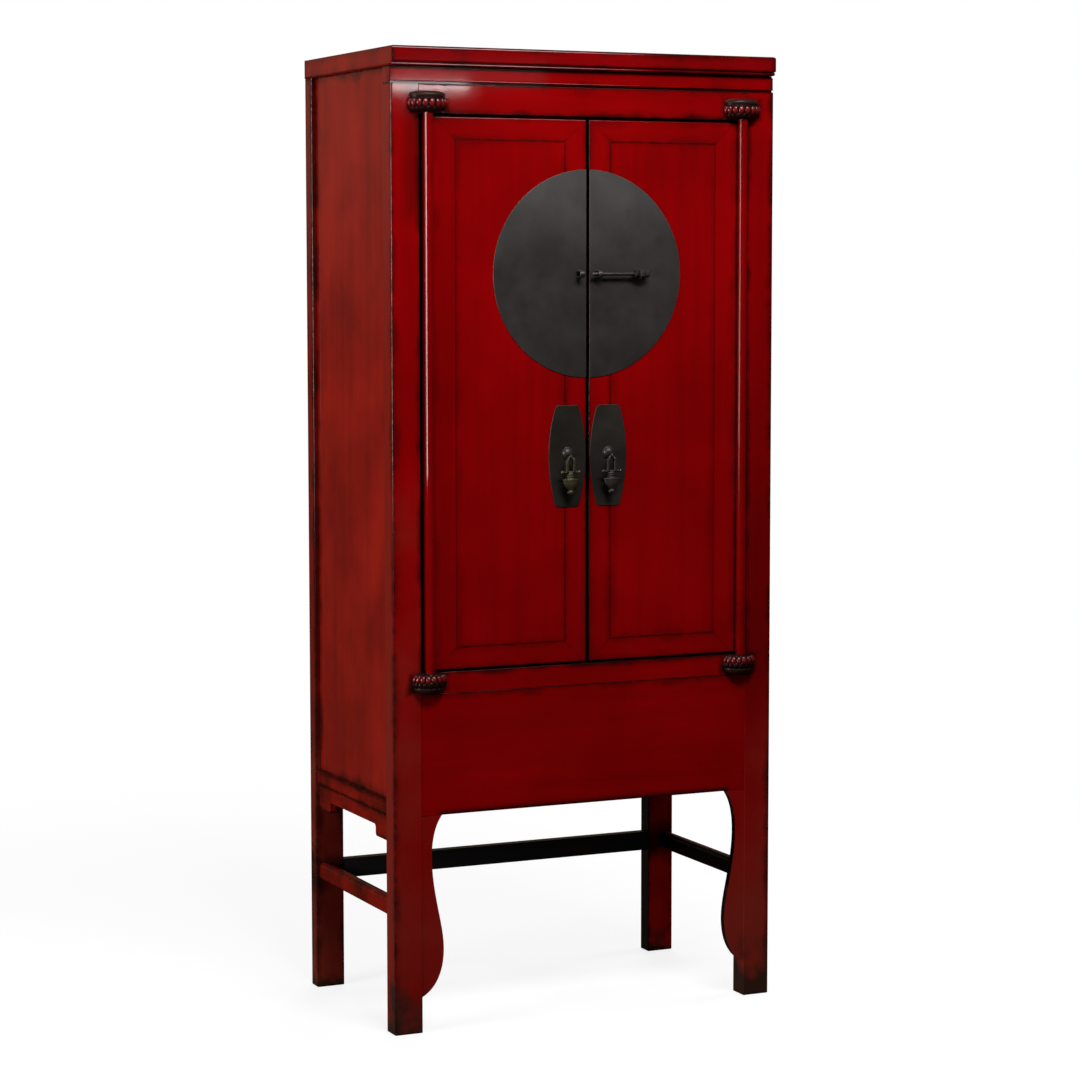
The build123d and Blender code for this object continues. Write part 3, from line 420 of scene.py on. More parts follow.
# The same on the leg that stands in the cabinet's own shade, painted brighter and redder to make up for that
# shade: painted light.
SHADE_LIFTED_LEG = Lacquer("shade_lifted_red_lacquer", "#cf080c", "#a00509", edge_mm=3.6, flank="#84190f",
                     legs="#d81814", mottle_mm=150.0, grime_and_shade_mm=9.0, foot_mm=36.0)
# The same lacquer in a thinner coat, faded brownish by light, with the boards' grain telegraphing through.
SIDE_LACQUER = Lacquer("faded_side_lacquer", "#aa2115", "#8c1810", "#1a0c07", coat=0.75, coat_roughness=0.1,
                       streaks=0.24, streak_mm=30.0, mottle_mm=180.0, grime_and_shade_mm=15.0)
# The same on rails and stretchers that shoes and mops reach: dull, with brown and black smears.
WORN_LACQUER = Lacquer("worn_side_lacquer", "#9c1d10", "#5c140c", "#1a0c07", coat=0.35, coat_roughness=0.3,
                       streaks=0.3, mottle_mm=90.0, edge_mm=3.6, grime_and_shade_mm=7.0)
# Black undercoat lacquer left without its red: nearly matt, on the cabinet's back.
DARK_LACQUER = Lacquer("black_undercoat_lacquer", "#302e2e", "#262424", "#241812", "#0b0807", coat=0.4,
                       coat_roughness=0.2)


@dataclass(frozen=True)
class AgedElm:
    """Sawn and planed elm, never lacquered: dull, with open dark grain lines and a grey-brown patina."""

    name: str = "aged_bare_elm"
    pale: str = "#8b6642"
    brown: str = "#5d3f27"
    pores: str = "#2f1e12"
    ring_mm: float = 14.0
    pore_mm: float = 2.2  # real pores are finer and would not show

    def material(self, grain: Grain) -> bpy.types.Material:
        """Make bare elm whose grain runs one way.

        Args:
            grain: the way that the wood runs.

        Returns:
            The material.
        """
        recipe = Recipe(bpy.data.materials.new(f"{self.name}.{grain.name.lower()}"))
        add = recipe.add
        along = add(MAPPING, {"Vector": add(COORDINATES, out="Object"), "Scale": grain.value})
        rings = add(NOISE, {"Vector": along, "Scale": 1 / (self.ring_mm * MM), "Detail": 4.0,
                            "Distortion": 0.6})
        bands = add(RANGE, {"Value": rings, "From Min": 0.35, "From Max": 0.65})
        pores = add(NOISE, {"Vector": along, "Scale": 1 / (self.pore_mm * MM), "Detail": 3.0})
        open_pores = add(RANGE, {"Value": pores, "From Min": 0.58, "From Max": 0.72, "To Max": 0.7})
        colour = recipe.paint(linear(self.brown), (bands, self.pale), (open_pores, self.pores))
        roughness = add(RANGE, {"Value": rings, "To Min": 0.55, "To Max": 0.75})
        bump = add(BUMP, {"Strength": 0.35, "Distance": 0.25 * MM, "Height": pores})
        return recipe.finished({"Base Color": colour, "Roughness": roughness, "Normal": bump, "IOR": 1.5})


@dataclass(frozen=True)
class SheetMetal:
    """Beaten brass sheet under a grey-black patina: dull and cloudy, with a rubbed bevel that also carries a
    painted highlight, and a painted sheen high up.
    """

    name: str
    rubbed: str
    patina: str
    stain: str
    # a painted sheen: a cool grey laid over the patina between two heights, standing in for a reflection
    painted_sheen: str = "#8a8588"
    sheen_heights_mm: tuple[float, float] = (1420.0, 1660.0)
    sheen_strength: float = 0.27
    cloud_mm: float = 120.0
    dent_mm: float = 16.0
    parting_mm: float = 6.0

    def material(self) -> bpy.types.Material:
        """Make the patina, lighter where the bevel turns away from the face, but not where two halves meet,
        and lighter and cooler high up as a painted sheen.

        Returns:
            The material.
        """
        recipe = Recipe(bpy.data.materials.new(self.name))
        add = recipe.add
        seat = add(COORDINATES, out=None)
        place, normal = seat.outputs["Object"], seat.outputs["Normal"]
        cloud = add(NOISE, {"Vector": place, "Scale": 1 / (self.cloud_mm * MM), "Detail": 5.0,
                            "Roughness": 0.65})
        dents = add(NOISE, {"Vector": place, "Scale": 1 / (self.dent_mm * MM), "Detail": 2.0})
        # the bevel is painted lighter: rubbed metal, and partly a painted highlight along the edge
        facing = add(MATH, {0: add(SEPARATE, {0: normal}, "Y")}, operation="ABSOLUTE")
        turned_away = add(RANGE, {"Value": facing, "From Min": 0.6, "From Max": 0.97, "To Min": 0.75,
                                  "To Max": 0.0})
        not_edge = add(RANGE, {"Value": facing, "From Min": 0.1, "From Max": 0.4})
        x, _, height = add(SEPARATE, {0: place}, None).outputs
        from_middle = add(MATH, {0: x}, operation="ABSOLUTE")
        bevel = add(MATH, {0: from_middle, 1: self.parting_mm * MM}, operation="GREATER_THAN")
        for mask in (turned_away, not_edge):
            bevel = add(MATH, {0: bevel, 1: mask}, operation="MULTIPLY")
        tone = add(RANGE, {"Value": cloud, "From Min": 0.35, "From Max": 0.68})
        # painted sheen: lighter and cooler towards the top, in place of a reflection
        sheen_mask = add(RANGE, {"Value": height, "From Min": self.sheen_heights_mm[0] * MM,
                           "From Max": self.sheen_heights_mm[1] * MM, "To Max": self.sheen_strength},
                   interpolation_type="SMOOTHSTEP")
        layers = (tone, self.patina), (sheen_mask, self.painted_sheen), (bevel, self.rubbed)
        roughness = add(RANGE, {"Value": cloud, "From Min": 0.3, "From Max": 0.7, "To Min": 0.38,
                                "To Max": 0.56})
        bump = add(BUMP, {"Strength": 0.18, "Distance": 0.4 * MM, "Height": dents})
        return recipe.finished({"Base Color": recipe.paint(linear(self.stain), *layers),
                                "Roughness": roughness, "Normal": bump, "Metallic": 0.55})


@dataclass(frozen=True)
class CastBrass:
    """Sand-cast brass, tarnished brown-black in its hollows and rubbed yellow-grey on its high parts."""

    name: str
    rubbed: str
    tarnish: str
    blotch_mm: float = 9.0
    grit_mm: float = 1.6  # the sand's real grit is finer and would not show

    def material(self) -> bpy.types.Material:
        """Make the brass, tarnished where the mesh's relief attribute is low.

        Returns:
            The material.
        """
        recipe = Recipe(bpy.data.materials.new(self.name))
        add = recipe.add
        place = add(COORDINATES, out="Object")
        relief = add(ATTRIBUTE, out="Fac", attribute_name=RELIEF)
        blotch = add(NOISE, {"Vector": place, "Scale": 1 / (self.blotch_mm * MM), "Detail": 4.0,
                             "Roughness": 0.6})
        grit = add(NOISE, {"Vector": place, "Scale": 1 / (self.grit_mm * MM), "Detail": 2.0})
        uneven = add(MATH, {0: blotch, 1: 0.62}, operation="MULTIPLY")
        high = add(MATH, {0: relief, 1: 0.55, 2: uneven}, operation="MULTIPLY_ADD")
        rubbed = add(RANGE, {"Value": high, "From Min": 0.42, "From Max": 0.86})
        colour = recipe.paint(linear(self.tarnish), (rubbed, self.rubbed))
        roughness = add(RANGE, {"Value": rubbed, "To Min": 0.6, "To Max": 0.36})
        bump = add(BUMP, {"Strength": 0.25, "Distance": 0.15 * MM, "Height": grit})
        return recipe.finished({"Base Color": colour, "Roughness": roughness, "Normal": bump,
                                "Metallic": 0.5})


@dataclass(frozen=True)
class CarvedLacquer:
    """Thick glossy red lacquer over carving: black in the cuts between petals and on the rubbed rim."""

    name: str = "carved_red_lacquer"
    crest: str = "#7c1114"
    cut: str = "#1f0606"
    rim: str = "#33201a"
    blotch_mm: float = 9.0

    def material(self) -> bpy.types.Material:
        """Make the carving's lacquer. Relief below zero marks the plain rim.

        Returns:
            The material.
        """
        recipe = Recipe(bpy.data.materials.new(self.name))
        add = recipe.add
        place = add(COORDINATES, out="Object")
        relief = add(ATTRIBUTE, out="Fac", attribute_name=RELIEF)
        blotch = add(NOISE, {"Vector": place, "Scale": 1 / (self.blotch_mm * MM), "Detail": 5.0,
                             "Roughness": 0.65})
        uneven = add(MATH, {0: blotch, 1: 0.6, 2: relief}, operation="MULTIPLY_ADD")
        crest = add(RANGE, {"Value": uneven, "From Min": 0.7, "From Max": 1.3})
        plain = add(RANGE, {"Value": relief, "From Min": -0.6, "From Max": -0.2, "To Min": 1.0,
                            "To Max": 0.0})
        colour = recipe.paint(linear(self.cut), (crest, self.crest), (plain, self.rim))
        roughness = add(RANGE, {"Value": blotch, "From Min": 0.3, "From Max": 0.7, "To Min": 0.08,
                                "To Max": 0.3})
        gloss = add(RANGE, {"Value": relief, "From Min": 0.45, "From Max": 0.95, "To Min": 0.12,
                            "To Max": 0.85})
        bump = add(BUMP, {"Strength": 0.6, "Distance": 0.35 * MM, "Height": blotch})
        return recipe.finished({"Base Color": colour, "Roughness": 0.45, "IOR": 1.5,
                                "Specular IOR Level": 0.1, "Coat Weight": gloss, "Coat Roughness": roughness,
                                "Coat IOR": 1.5, "Coat Normal": bump, "Normal": bump})


# The left pull and the drawer knobs are rubbed to a yellower brass than the rest of the fittings.
BRIGHT_BRASS = CastBrass("rubbed_cast_brass", "#5b5236", "#17130c")
# The other cast and forged fittings are tarnished nearly black, and grey where they are touched.
DARK_BRASS = CastBrass("tarnished_cast_brass", "#4a4341", "#0f0d0c")
# The round lock plate's patina is greyer and thinner than that of the handle plates, which hands kept dark.
DISC_BRASS = SheetMetal("patinated_disc_brass", "#6a5d53", "#474240", "#3c3735")
PLATE_BRASS = SheetMetal("patinated_plate_brass", "#403a34", "#39352f", "#2c2723")


# ---------- surfaces


def faces_between_rings(count: int, around: int) -> np.ndarray:
    """Join rings of points, numbered ring by ring, with four-sided faces.

    Args:
        count: how many rings there are.
        around: points in a ring.

    Returns:
        Each face's four points.
    """
    index = np.arange(count * around).reshape(count, around)
    step = np.roll(index, -1, axis=1)
    return np.stack([index[:-1], step[:-1], step[1:], index[1:]], axis=-1).reshape(-1, 4)


@dataclass
class Shell:
    """A closed skin: rings of points, closed around, whose two end rings are filled in.

    Attributes:
        rings: array of rings, points around and coordinates, in millimetres.
        relief: one number for each point, from 0 in a hollow to 1 on a crest.
    """

    rings: np.ndarray
    relief: np.ndarray | None = None

    def mirrored(self, plane: float = 0.0) -> "Shell":
        """The same skin on the other side of the middle plane, or of a plane at another x."""
        return Shell(self.rings * np.array([-1.0, 1.0, 1.0]) + np.array([2 * plane, 0.0, 0.0]), self.relief)

    def facets(self) -> tuple[np.ndarray, np.ndarray, np.ndarray, np.ndarray]:
        """Work out points and faces.

        Each end ring is joined to its mean point. If the volume under the faces, a sixth of the sum of their
        corners' triple products, is negative, every face is turned round.

        Returns:
            Points, their relief, four-sided faces and three-sided faces.
        """
        count, around = self.rings.shape[:2]
        relief = np.ones((count, around)) if self.relief is None else self.relief
        points = np.vstack([self.rings.reshape(-1, 3), self.rings[0].mean(0), self.rings[-1].mean(0)])
        heights = np.concatenate([relief.ravel(), [relief[0].mean(), relief[-1].mean()]])
        quads = faces_between_rings(count, around)
        ring = np.arange(around)
        step, last = np.roll(ring, -1), (count - 1) * around
        start = np.stack([step, ring, np.full(around, count * around)], axis=-1)
        end = np.stack([last + ring, last + step, np.full(around, count * around + 1)], axis=-1)
        fans = np.vstack([start, end])
        triangles = np.vstack([quads[:, [0, 1, 2]], quads[:, [0, 2, 3]], fans])
        a, b, c = (points[triangles[:, i]] - points.mean(0) for i in range(3))
        if np.einsum("ij,ij->i", a, np.cross(b, c)).sum() < 0:
            quads, fans = quads[:, ::-1], fans[:, ::-1]
        return points, heights, quads, fans


def make_piece(name: str, shells: Sequence[Shell], material: bpy.types.Material, body: str,
               node: str, sharp_degrees: float = 38.0) -> None:
    """Join shells into one piece that stands for a CAD node.

    Args:
        name: the piece's name.
        shells: its closed skins, in millimetres.
        material: its finish.
        body: the CAD body that it rides on.
        node: the CAD node that it stands for.
        sharp_degrees: edges that turn by more than this stay sharp.
    """
    points, heights, quads, fans = zip(*(shell.facets() for shell in shells))
    base = np.cumsum([0, *(len(each) for each in points[:-1])])
    points, heights = np.vstack(points) * MM, np.concatenate(heights)
    quads = np.vstack([four + start for four, start in zip(quads, base)])
    fans = np.vstack([three + start for three, start in zip(fans, base)])
    mesh = bpy.data.meshes.new(name)
    mesh.vertices.add(len(points))
    mesh.vertices.foreach_set("co", points.ravel())
    loops = np.concatenate([quads.ravel(), fans.ravel()])
    mesh.loops.add(len(loops))
    mesh.loops.foreach_set("vertex_index", loops)
    mesh.polygons.add(len(quads) + len(fans))
    starts = np.concatenate([np.arange(len(quads)) * 4, len(quads) * 4 + np.arange(len(fans)) * 3])
    mesh.polygons.foreach_set("loop_start", starts)
    mesh.polygons.foreach_set("use_smooth", np.ones(len(starts), bool))
    mesh.update(calc_edges=True)
    mesh.validate()
    mesh.set_sharp_from_angle(angle=math.radians(sharp_degrees))
    mesh.attributes.new(RELIEF, "FLOAT", "POINT").data.foreach_set("value", heights.astype(np.float32))
    mesh.materials.append(material)
    piece = bpy.data.objects.new(name, mesh)
    bpy.context.scene.collection.objects.link(piece)
    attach(piece, body)
    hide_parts(node)
    log.info("%s: %d points, rides on %s, stands for %s", name, len(points), body, node)


def flowing(points: Sequence[Sequence[float]], per_span: int) -> np.ndarray:
    """Draw a smooth line through points.

    Between two points the line is the cubic whose slope at each is half the difference of that point's
    neighbours.

    Args:
        points: the points that the line goes through.
        per_span: how many steps there are between two of them.

    Returns:
        Points along the line, both ends included.
    """
    given = np.asarray(points, float)
    padded = np.vstack([2 * given[0] - given[1], given, 2 * given[-1] - given[-2]])
    before, start, end, after = padded[:-3], padded[1:-2], padded[2:-1], padded[3:]
    t = np.linspace(0, 1, per_span, endpoint=False)[:, None, None]
    curve = 0.5 * (2 * start + (end - before) * t + (2 * before - 5 * start + 4 * end - after) * t**2
                   + (3 * start - before - 3 * end + after) * t**3)
    return np.vstack([curve.transpose(1, 0, 2).reshape(-1, given.shape[1]), given[-1:]])


def turned(profile: np.ndarray, centre: Sequence[float], axis: Sequence[float], spoke: Sequence[float],
           around: int = 48, flatten: np.ndarray | float = 1.0, lobes: int = 0,
           cuts: np.ndarray | float = 0.0) -> Shell:
    """Turn a profile about an axis.

    A point is the centre, plus the profile's height along the axis, plus its radius times the cosine
    along the spoke and times the sine along the third direction, which is flattened. Lobes make the radius
    wave with the absolute sine of half their number of turns. The relief rises with the radius and falls in
    the cuts.

    Args:
        profile: heights and radii.
        centre: the point at height zero.
        axis: unit direction of the heights.
        spoke: unit direction of the angle zero, square to the axis.
        around: points in a ring.
        flatten: how far the third direction is flattened, once or for each ring.
        lobes: how many there are around.
        cuts: how deep the cuts between lobes are, as a share of the radius, once or for each ring.

    Returns:
        The closed skin.
    """
    axis, spoke = np.asarray(axis, float), np.asarray(spoke, float)
    angle = np.linspace(0, 2 * np.pi, around, endpoint=False)[None, :]
    lobe = np.abs(np.sin(angle * lobes / 2)) if lobes else np.ones_like(angle)
    cut = np.broadcast_to(cuts, len(profile))[:, None] * (1 - lobe)
    radius = profile[:, 1:] * (1 - cut)
    flat = np.broadcast_to(flatten, len(profile))[:, None]
    rings = (np.asarray(centre, float) + profile[:, :1, None] * axis
             + (radius * np.cos(angle))[..., None] * spoke
             + (radius * flat * np.sin(angle))[..., None] * np.cross(axis, spoke))
    widest = profile[:, 1:] / profile[:, 1].max()
    return Shell(rings, np.clip(0.35 + 0.65 * widest * (1 - 10 * cut), 0, 1))


def swept(path: np.ndarray, side: Sequence[float], half_width: np.ndarray | float,
          half_thickness: np.ndarray | float, squareness: np.ndarray | float, around: int) -> Shell:
    """Carry a section along a path that lies in a plane square to a side direction.

    The section is the curve on which the two half-size shares, each to the power of the squareness, add up to
    one: 2 gives an ellipse and more gives a rounded bar. Its width lies along the side direction, and its
    thickness along the path's normal, which is the path's direction crossed with the side.

    Args:
        path: points along the path.
        side: unit direction of the width.
        half_width: half of the section's width, once or for each point.
        half_thickness: half of its thickness, once or for each point.
        squareness: the power, once or for each point.
        around: points in a ring.

    Returns:
        The closed skin.
    """
    side = np.asarray(side, float)
    forward = np.gradient(path, axis=0)
    forward /= np.linalg.norm(forward, axis=1, keepdims=True)
    normal = np.cross(forward, side)
    angle = np.linspace(0, 2 * np.pi, around, endpoint=False)[None, :]
    width, thickness, power = (np.broadcast_to(each, len(path))[:, None]
                               for each in (half_width, half_thickness, squareness))
    across = width * np.sign(np.cos(angle)) * np.abs(np.cos(angle)) ** (2 / power)
    through = thickness * np.sign(np.sin(angle)) * np.abs(np.sin(angle)) ** (2 / power)
    return Shell(path[:, None, :] + across[..., None] * side + through[..., None] * normal[:, None, :])


def arc(centre: Sequence[float], radius: float, start: float, stop: float, count: int) -> np.ndarray:
    """Points in y and z on an arc, from one angle to another in degrees, counted from +y towards +z."""
    angle = np.radians(np.linspace(start, stop, count))
    return np.stack([centre[0] + radius * np.cos(angle), centre[1] + radius * np.sin(angle)], axis=-1)


# ---------- carved lotus brackets


@dataclass
class LotusBrackets:
    """The carved seats of the door poles, one at each side, above or below the doors. Sizes in millimetres.

    Attributes:
        tail: the outline beyond the petals: heights from the pole's mouth, and shares of the whole size.
        rows: each petal row's middle height, half height, lift, shift and share of the gloss and of the red;
            a low share paints the row that lies in shadow darker, as painted shade.
        rim_from: the height from which the bracket is plain.
        fineness: points across a petal.
        body: the outline under the petals, as in the tail.
    """

    name: str
    node: str
    mouth_down: bool
    half_length: float
    tail: Sequence[tuple[float, float]]
    rows: Sequence[tuple[float, float, float, float, float]]
    rim_from: float
    reach: float = 28.4
    petals: int = 9
    petals_to: float = 29.0
    bore_radius: float = 5.56
    bore_depth: float = 20.0
    fineness: int = 22
    body: Sequence[tuple[float, float]] = (
        (0.0, 0.66), (1.4, 0.73), (4.0, 0.785), (9.0, 0.83), (15.0, 0.865), (22.0, 0.87), (27.0, 0.855),
        (29.2, 0.86),
    )

    def petal_rows(self, turn: np.ndarray, level: np.ndarray) -> tuple[np.ndarray, np.ndarray]:
        """Work out how far the petals stand out.

        A petal is a lobe: the root of one less its share of the width to the power 2.4, less its share of the
        height squared. The higher row shows.

        Args:
            turn: petals counted around the bracket.
            level: heights from the mouth.

        Returns:
            The lift in millimetres, and the relief from 0 to 1.
        """
        lift, relief = np.zeros(np.broadcast_shapes(turn.shape, level.shape)), 0.0
        for middle, half, height, shift, share in self.rows:
            across = np.abs(2 * ((turn + shift) % 1) - 1)
            up = (level - middle) / half
            lobe = np.sqrt(np.clip(1 - across**2.4 - up**2, 0, 1))
            relief = np.where(lobe * height > lift, lobe * share, relief)
            lift = np.maximum(lift, lobe * height)
        return lift, relief

    def shell(self) -> Shell:
        """Work out the left-hand bracket.

        Around the bracket the angle runs from one end of its half oval to the other, and back along the wall.
        The half oval's size follows the outline from the mouth, where the pole enters, to the far end, and
        the petals stand out of it along the oval's cosine and sine. The bore goes in from the mouth.

        Returns:
            The closed skin.
        """
        low, high = (float(corner[2]) for corner in corners(self.node))
        middle = np.array([-POLE_X, POLE_Y])
        angle = np.linspace(0, np.pi, self.fineness * self.petals + 1)[None, :]
        outline = flowing([*self.body, *self.tail], 5)
        even = np.linspace(0, self.petals_to, 2 * self.fineness)
        level = np.concatenate([even, outline[:, 0].clip(0, high - low)])
        level = np.unique(level)[:, None]
        size = np.interp(level, outline[:, 0], outline[:, 1])
        lift, relief = self.petal_rows(angle / np.pi * self.petals, level)
        relief = np.where(level > self.rim_from, -1.0, relief)
        x = middle[0] + (self.half_length * size + lift) * np.cos(angle)
        y = FRONT_Y - (self.reach * size + lift * 0.9) * np.sin(angle)
        along_wall = x[:, -1:] + (x[:, :1] - x[:, -1:]) * np.linspace(0, 1, self.fineness)[None, 1:-1]
        x = np.hstack([x, along_wall])
        y = np.hstack([y, np.full_like(along_wall, FRONT_Y)])
        relief = np.hstack([relief, np.zeros_like(along_wall)])
        rings = np.stack([x, y, np.broadcast_to(level, x.shape)], axis=-1)
        away = rings[0, :, :2] - middle
        away /= np.linalg.norm(away, axis=1, keepdims=True)
        bore_edge = np.column_stack([middle + away * self.bore_radius, np.zeros(len(away))])
        bore_floor = bore_edge + np.array([0.0, 0.0, self.bore_depth])
        cap = rings[-1] + (np.array([middle[0], FRONT_Y - self.reach / 3, high - low]) - rings[-1]) * 0.6
        rings = np.concatenate([[bore_floor], [bore_edge], rings, [cap]])
        relief = np.vstack([np.zeros((2, len(away))), relief, np.full(len(away), -1.0)])
        rings[..., 2] = low + rings[..., 2] if self.mouth_down else high - rings[..., 2]
        return Shell(rings, relief)

    def build(self, material: bpy.types.Material) -> None:
        """Make the pair of brackets, in the place of their node."""
        left = self.shell()
        make_piece(self.name, [left, left.mirrored()], material, "case", self.node)


# ---------- cast and forged fittings


@dataclass
class PullFittings:
    """A door's hanging drop, and the domed boss with the eye that it hangs in. Sizes in millimetres.

    Attributes:
        walls: one half of the strap's loop, in x and z from the hinge.
        eave: a spur that curls out of it.
        dome: the boss's heights from the plate and radii.
        crossbar: distances from its middle, and radii.
        stem: neck, cup and foot: heights from the crossbar, radii, and how far they are flattened.
    """

    bar_below: float = 30.5
    boss_above: float = 5.0
    eye_radius: float = 3.3
    eye_wire: float = 1.3
    dome: Sequence[tuple[float, float]] = (
        (0.0, 12.5), (0.9, 12.4), (1.3, 11.2), (2.6, 10.9), (5.0, 9.2), (7.2, 6.4), (8.6, 3.0), (9.0, 0.4),
    )
    walls: Sequence[tuple[float, float]] = (
        (-7.4, -30.5), (-7.4, -23.0), (-7.4, -16.0), (-7.3, -10.5), (-6.2, -6.6), (-3.2, -2.4), (0.0, 0.0),
    )
    eave: Sequence[tuple[float, float]] = ((-5.0, -4.6), (-8.4, -7.6), (-12.2, -10.2))
    crossbar: Sequence[tuple[float, float]] = (
        (0.0, 2.6), (6.0, 2.5), (11.0, 2.2), (12.6, 2.4), (13.4, 3.1), (14.2, 2.4), (15.0, 2.2), (16.2, 3.2),
        (18.2, 3.8), (20.0, 3.2), (21.2, 1.3), (21.4, 0.3),
    )
    stem: Sequence[tuple[float, float, float]] = (
        (1.6, 5.0, 0.5), (-1.0, 6.4, 0.5), (-3.0, 7.4, 0.52), (-4.6, 8.2, 0.52), (-6.2, 7.0, 0.55),
        (-8.0, 8.3, 0.52), (-9.6, 7.0, 0.55), (-11.6, 8.0, 0.52), (-13.0, 12.6, 0.42), (-13.8, 16.4, 0.39),
        (-15.2, 16.9, 0.385), (-16.6, 16.2, 0.39), (-17.6, 15.4, 0.4), (-20.0, 15.2, 0.41),
        (-24.0, 13.9, 0.43), (-28.0, 11.2, 0.48), (-31.6, 7.8, 0.56), (-34.0, 5.2, 0.75),
        (-35.4, 4.8, 0.85), (-37.0, 6.4, 0.8), (-39.4, 6.9, 0.8), (-41.4, 6.0, 0.85), (-43.4, 3.4, 1.0),
        (-44.2, 0.4, 1.0),
    )

    def drop(self) -> list[Shell]:
        """Work out the left-hand drop: a looped strap with two spurs, a ball-ended bar and a turned stem.

        Returns:
            Its closed skins.
        """
        hinge = joint_place("left_pull_swing")
        bar_place = hinge - np.array([0.0, 0.0, self.bar_below])
        half_loop = flowing(self.walls, 10)
        loop = np.vstack([half_loop, half_loop[-2::-1] * np.array([-1.0, 1.0])])
        below = -loop[:, 1]
        deep = np.interp(below, (0.0, 2.0, 6.0, 30.5), (1.5, 1.8, 4.2, 4.6))
        thick = np.interp(below, (0.0, 2.0, 6.0, 12.0, 30.5), (1.5, 1.8, 2.8, 3.3, 3.5))
        square = np.interp(below, (0.0, 6.0, 14.0), (2.0, 2.6, 4.0))
        y_axis = (0.0, 1.0, 0.0)
        strap = swept(hinge + np.insert(loop, 1, 0.0, axis=1), y_axis, deep, thick, square, 24)
        strap.relief = np.full(strap.rings.shape[:2], 0.55)
        eave = flowing(self.eave, 6)
        taper = np.linspace(2.3, 0.7, len(eave))
        spur = swept(hinge + np.insert(eave, 1, 0.0, axis=1), y_axis, taper, taper * 0.85, 2.6, 16)
        half_bar = flowing(self.crossbar, 6)
        bar_line = np.vstack([half_bar[::-1] * np.array([-1.0, 1.0]), half_bar[1:]])
        bar = turned(bar_line, bar_place, (1, 0, 0), (0, 0, 1), 32)
        line = flowing(self.stem, 6)
        fluted = np.interp(-line[:, 0], (17.5, 20.0, 31.0, 34.0), (0.0, 0.025, 0.025, 0.0))
        stem = turned(line[:, :2], bar_place, (0, 0, 1), (1, 0, 0), 72, line[:, 2], 12, fluted)
        return [strap, spur, spur.mirrored(hinge[0]), bar, stem]

    def boss(self) -> list[Shell]:
        """Work out the left-hand boss: a dome on a flange, the wire eye, and its riveted end behind the door.

        Returns:
            Its closed skins.
        """
        x, hinge_y, hinge_z = joint_place("left_pull_swing")
        boss_z = hinge_z + self.boss_above
        dome = turned(flowing(self.dome, 5), (x, PLATE_Y, boss_z), (0, -1, 0), (1, 0, 0), 56)
        ring = arc((hinge_y, hinge_z), self.eye_radius, 105, 305, 21)
        top_foot = np.array([(-5.0, 0.8), (-10.0, -1.4)]) + (PLATE_Y, boss_z)
        lower_foot = np.array([(-11.6, -7.4), (-8.0, -4.6), (-5.0, -2.6)]) + (PLATE_Y, boss_z)
        path = np.insert(flowing(np.vstack([top_foot, ring, lower_foot]), 3), 0, x, axis=1)
        eye = swept(path, (1.0, 0.0, 0.0), self.eye_wire, self.eye_wire, 2.3, 16)
        return [dome, eye, rivet(x, boss_z)]


def rivet(x: float, z: float) -> Shell:
    """The riveted-over end of a shank, behind the door: a low dome of 13 mm."""
    profile = flowing([(0.0, 6.5), (0.5, 6.4), (1.1, 5.2), (1.5, 2.6), (1.6, 0.3)], 5)
    return turned(profile, (x, DOOR_BACK_Y - 0.02, z), (0, 1, 0), (1, 0, 0), 32)


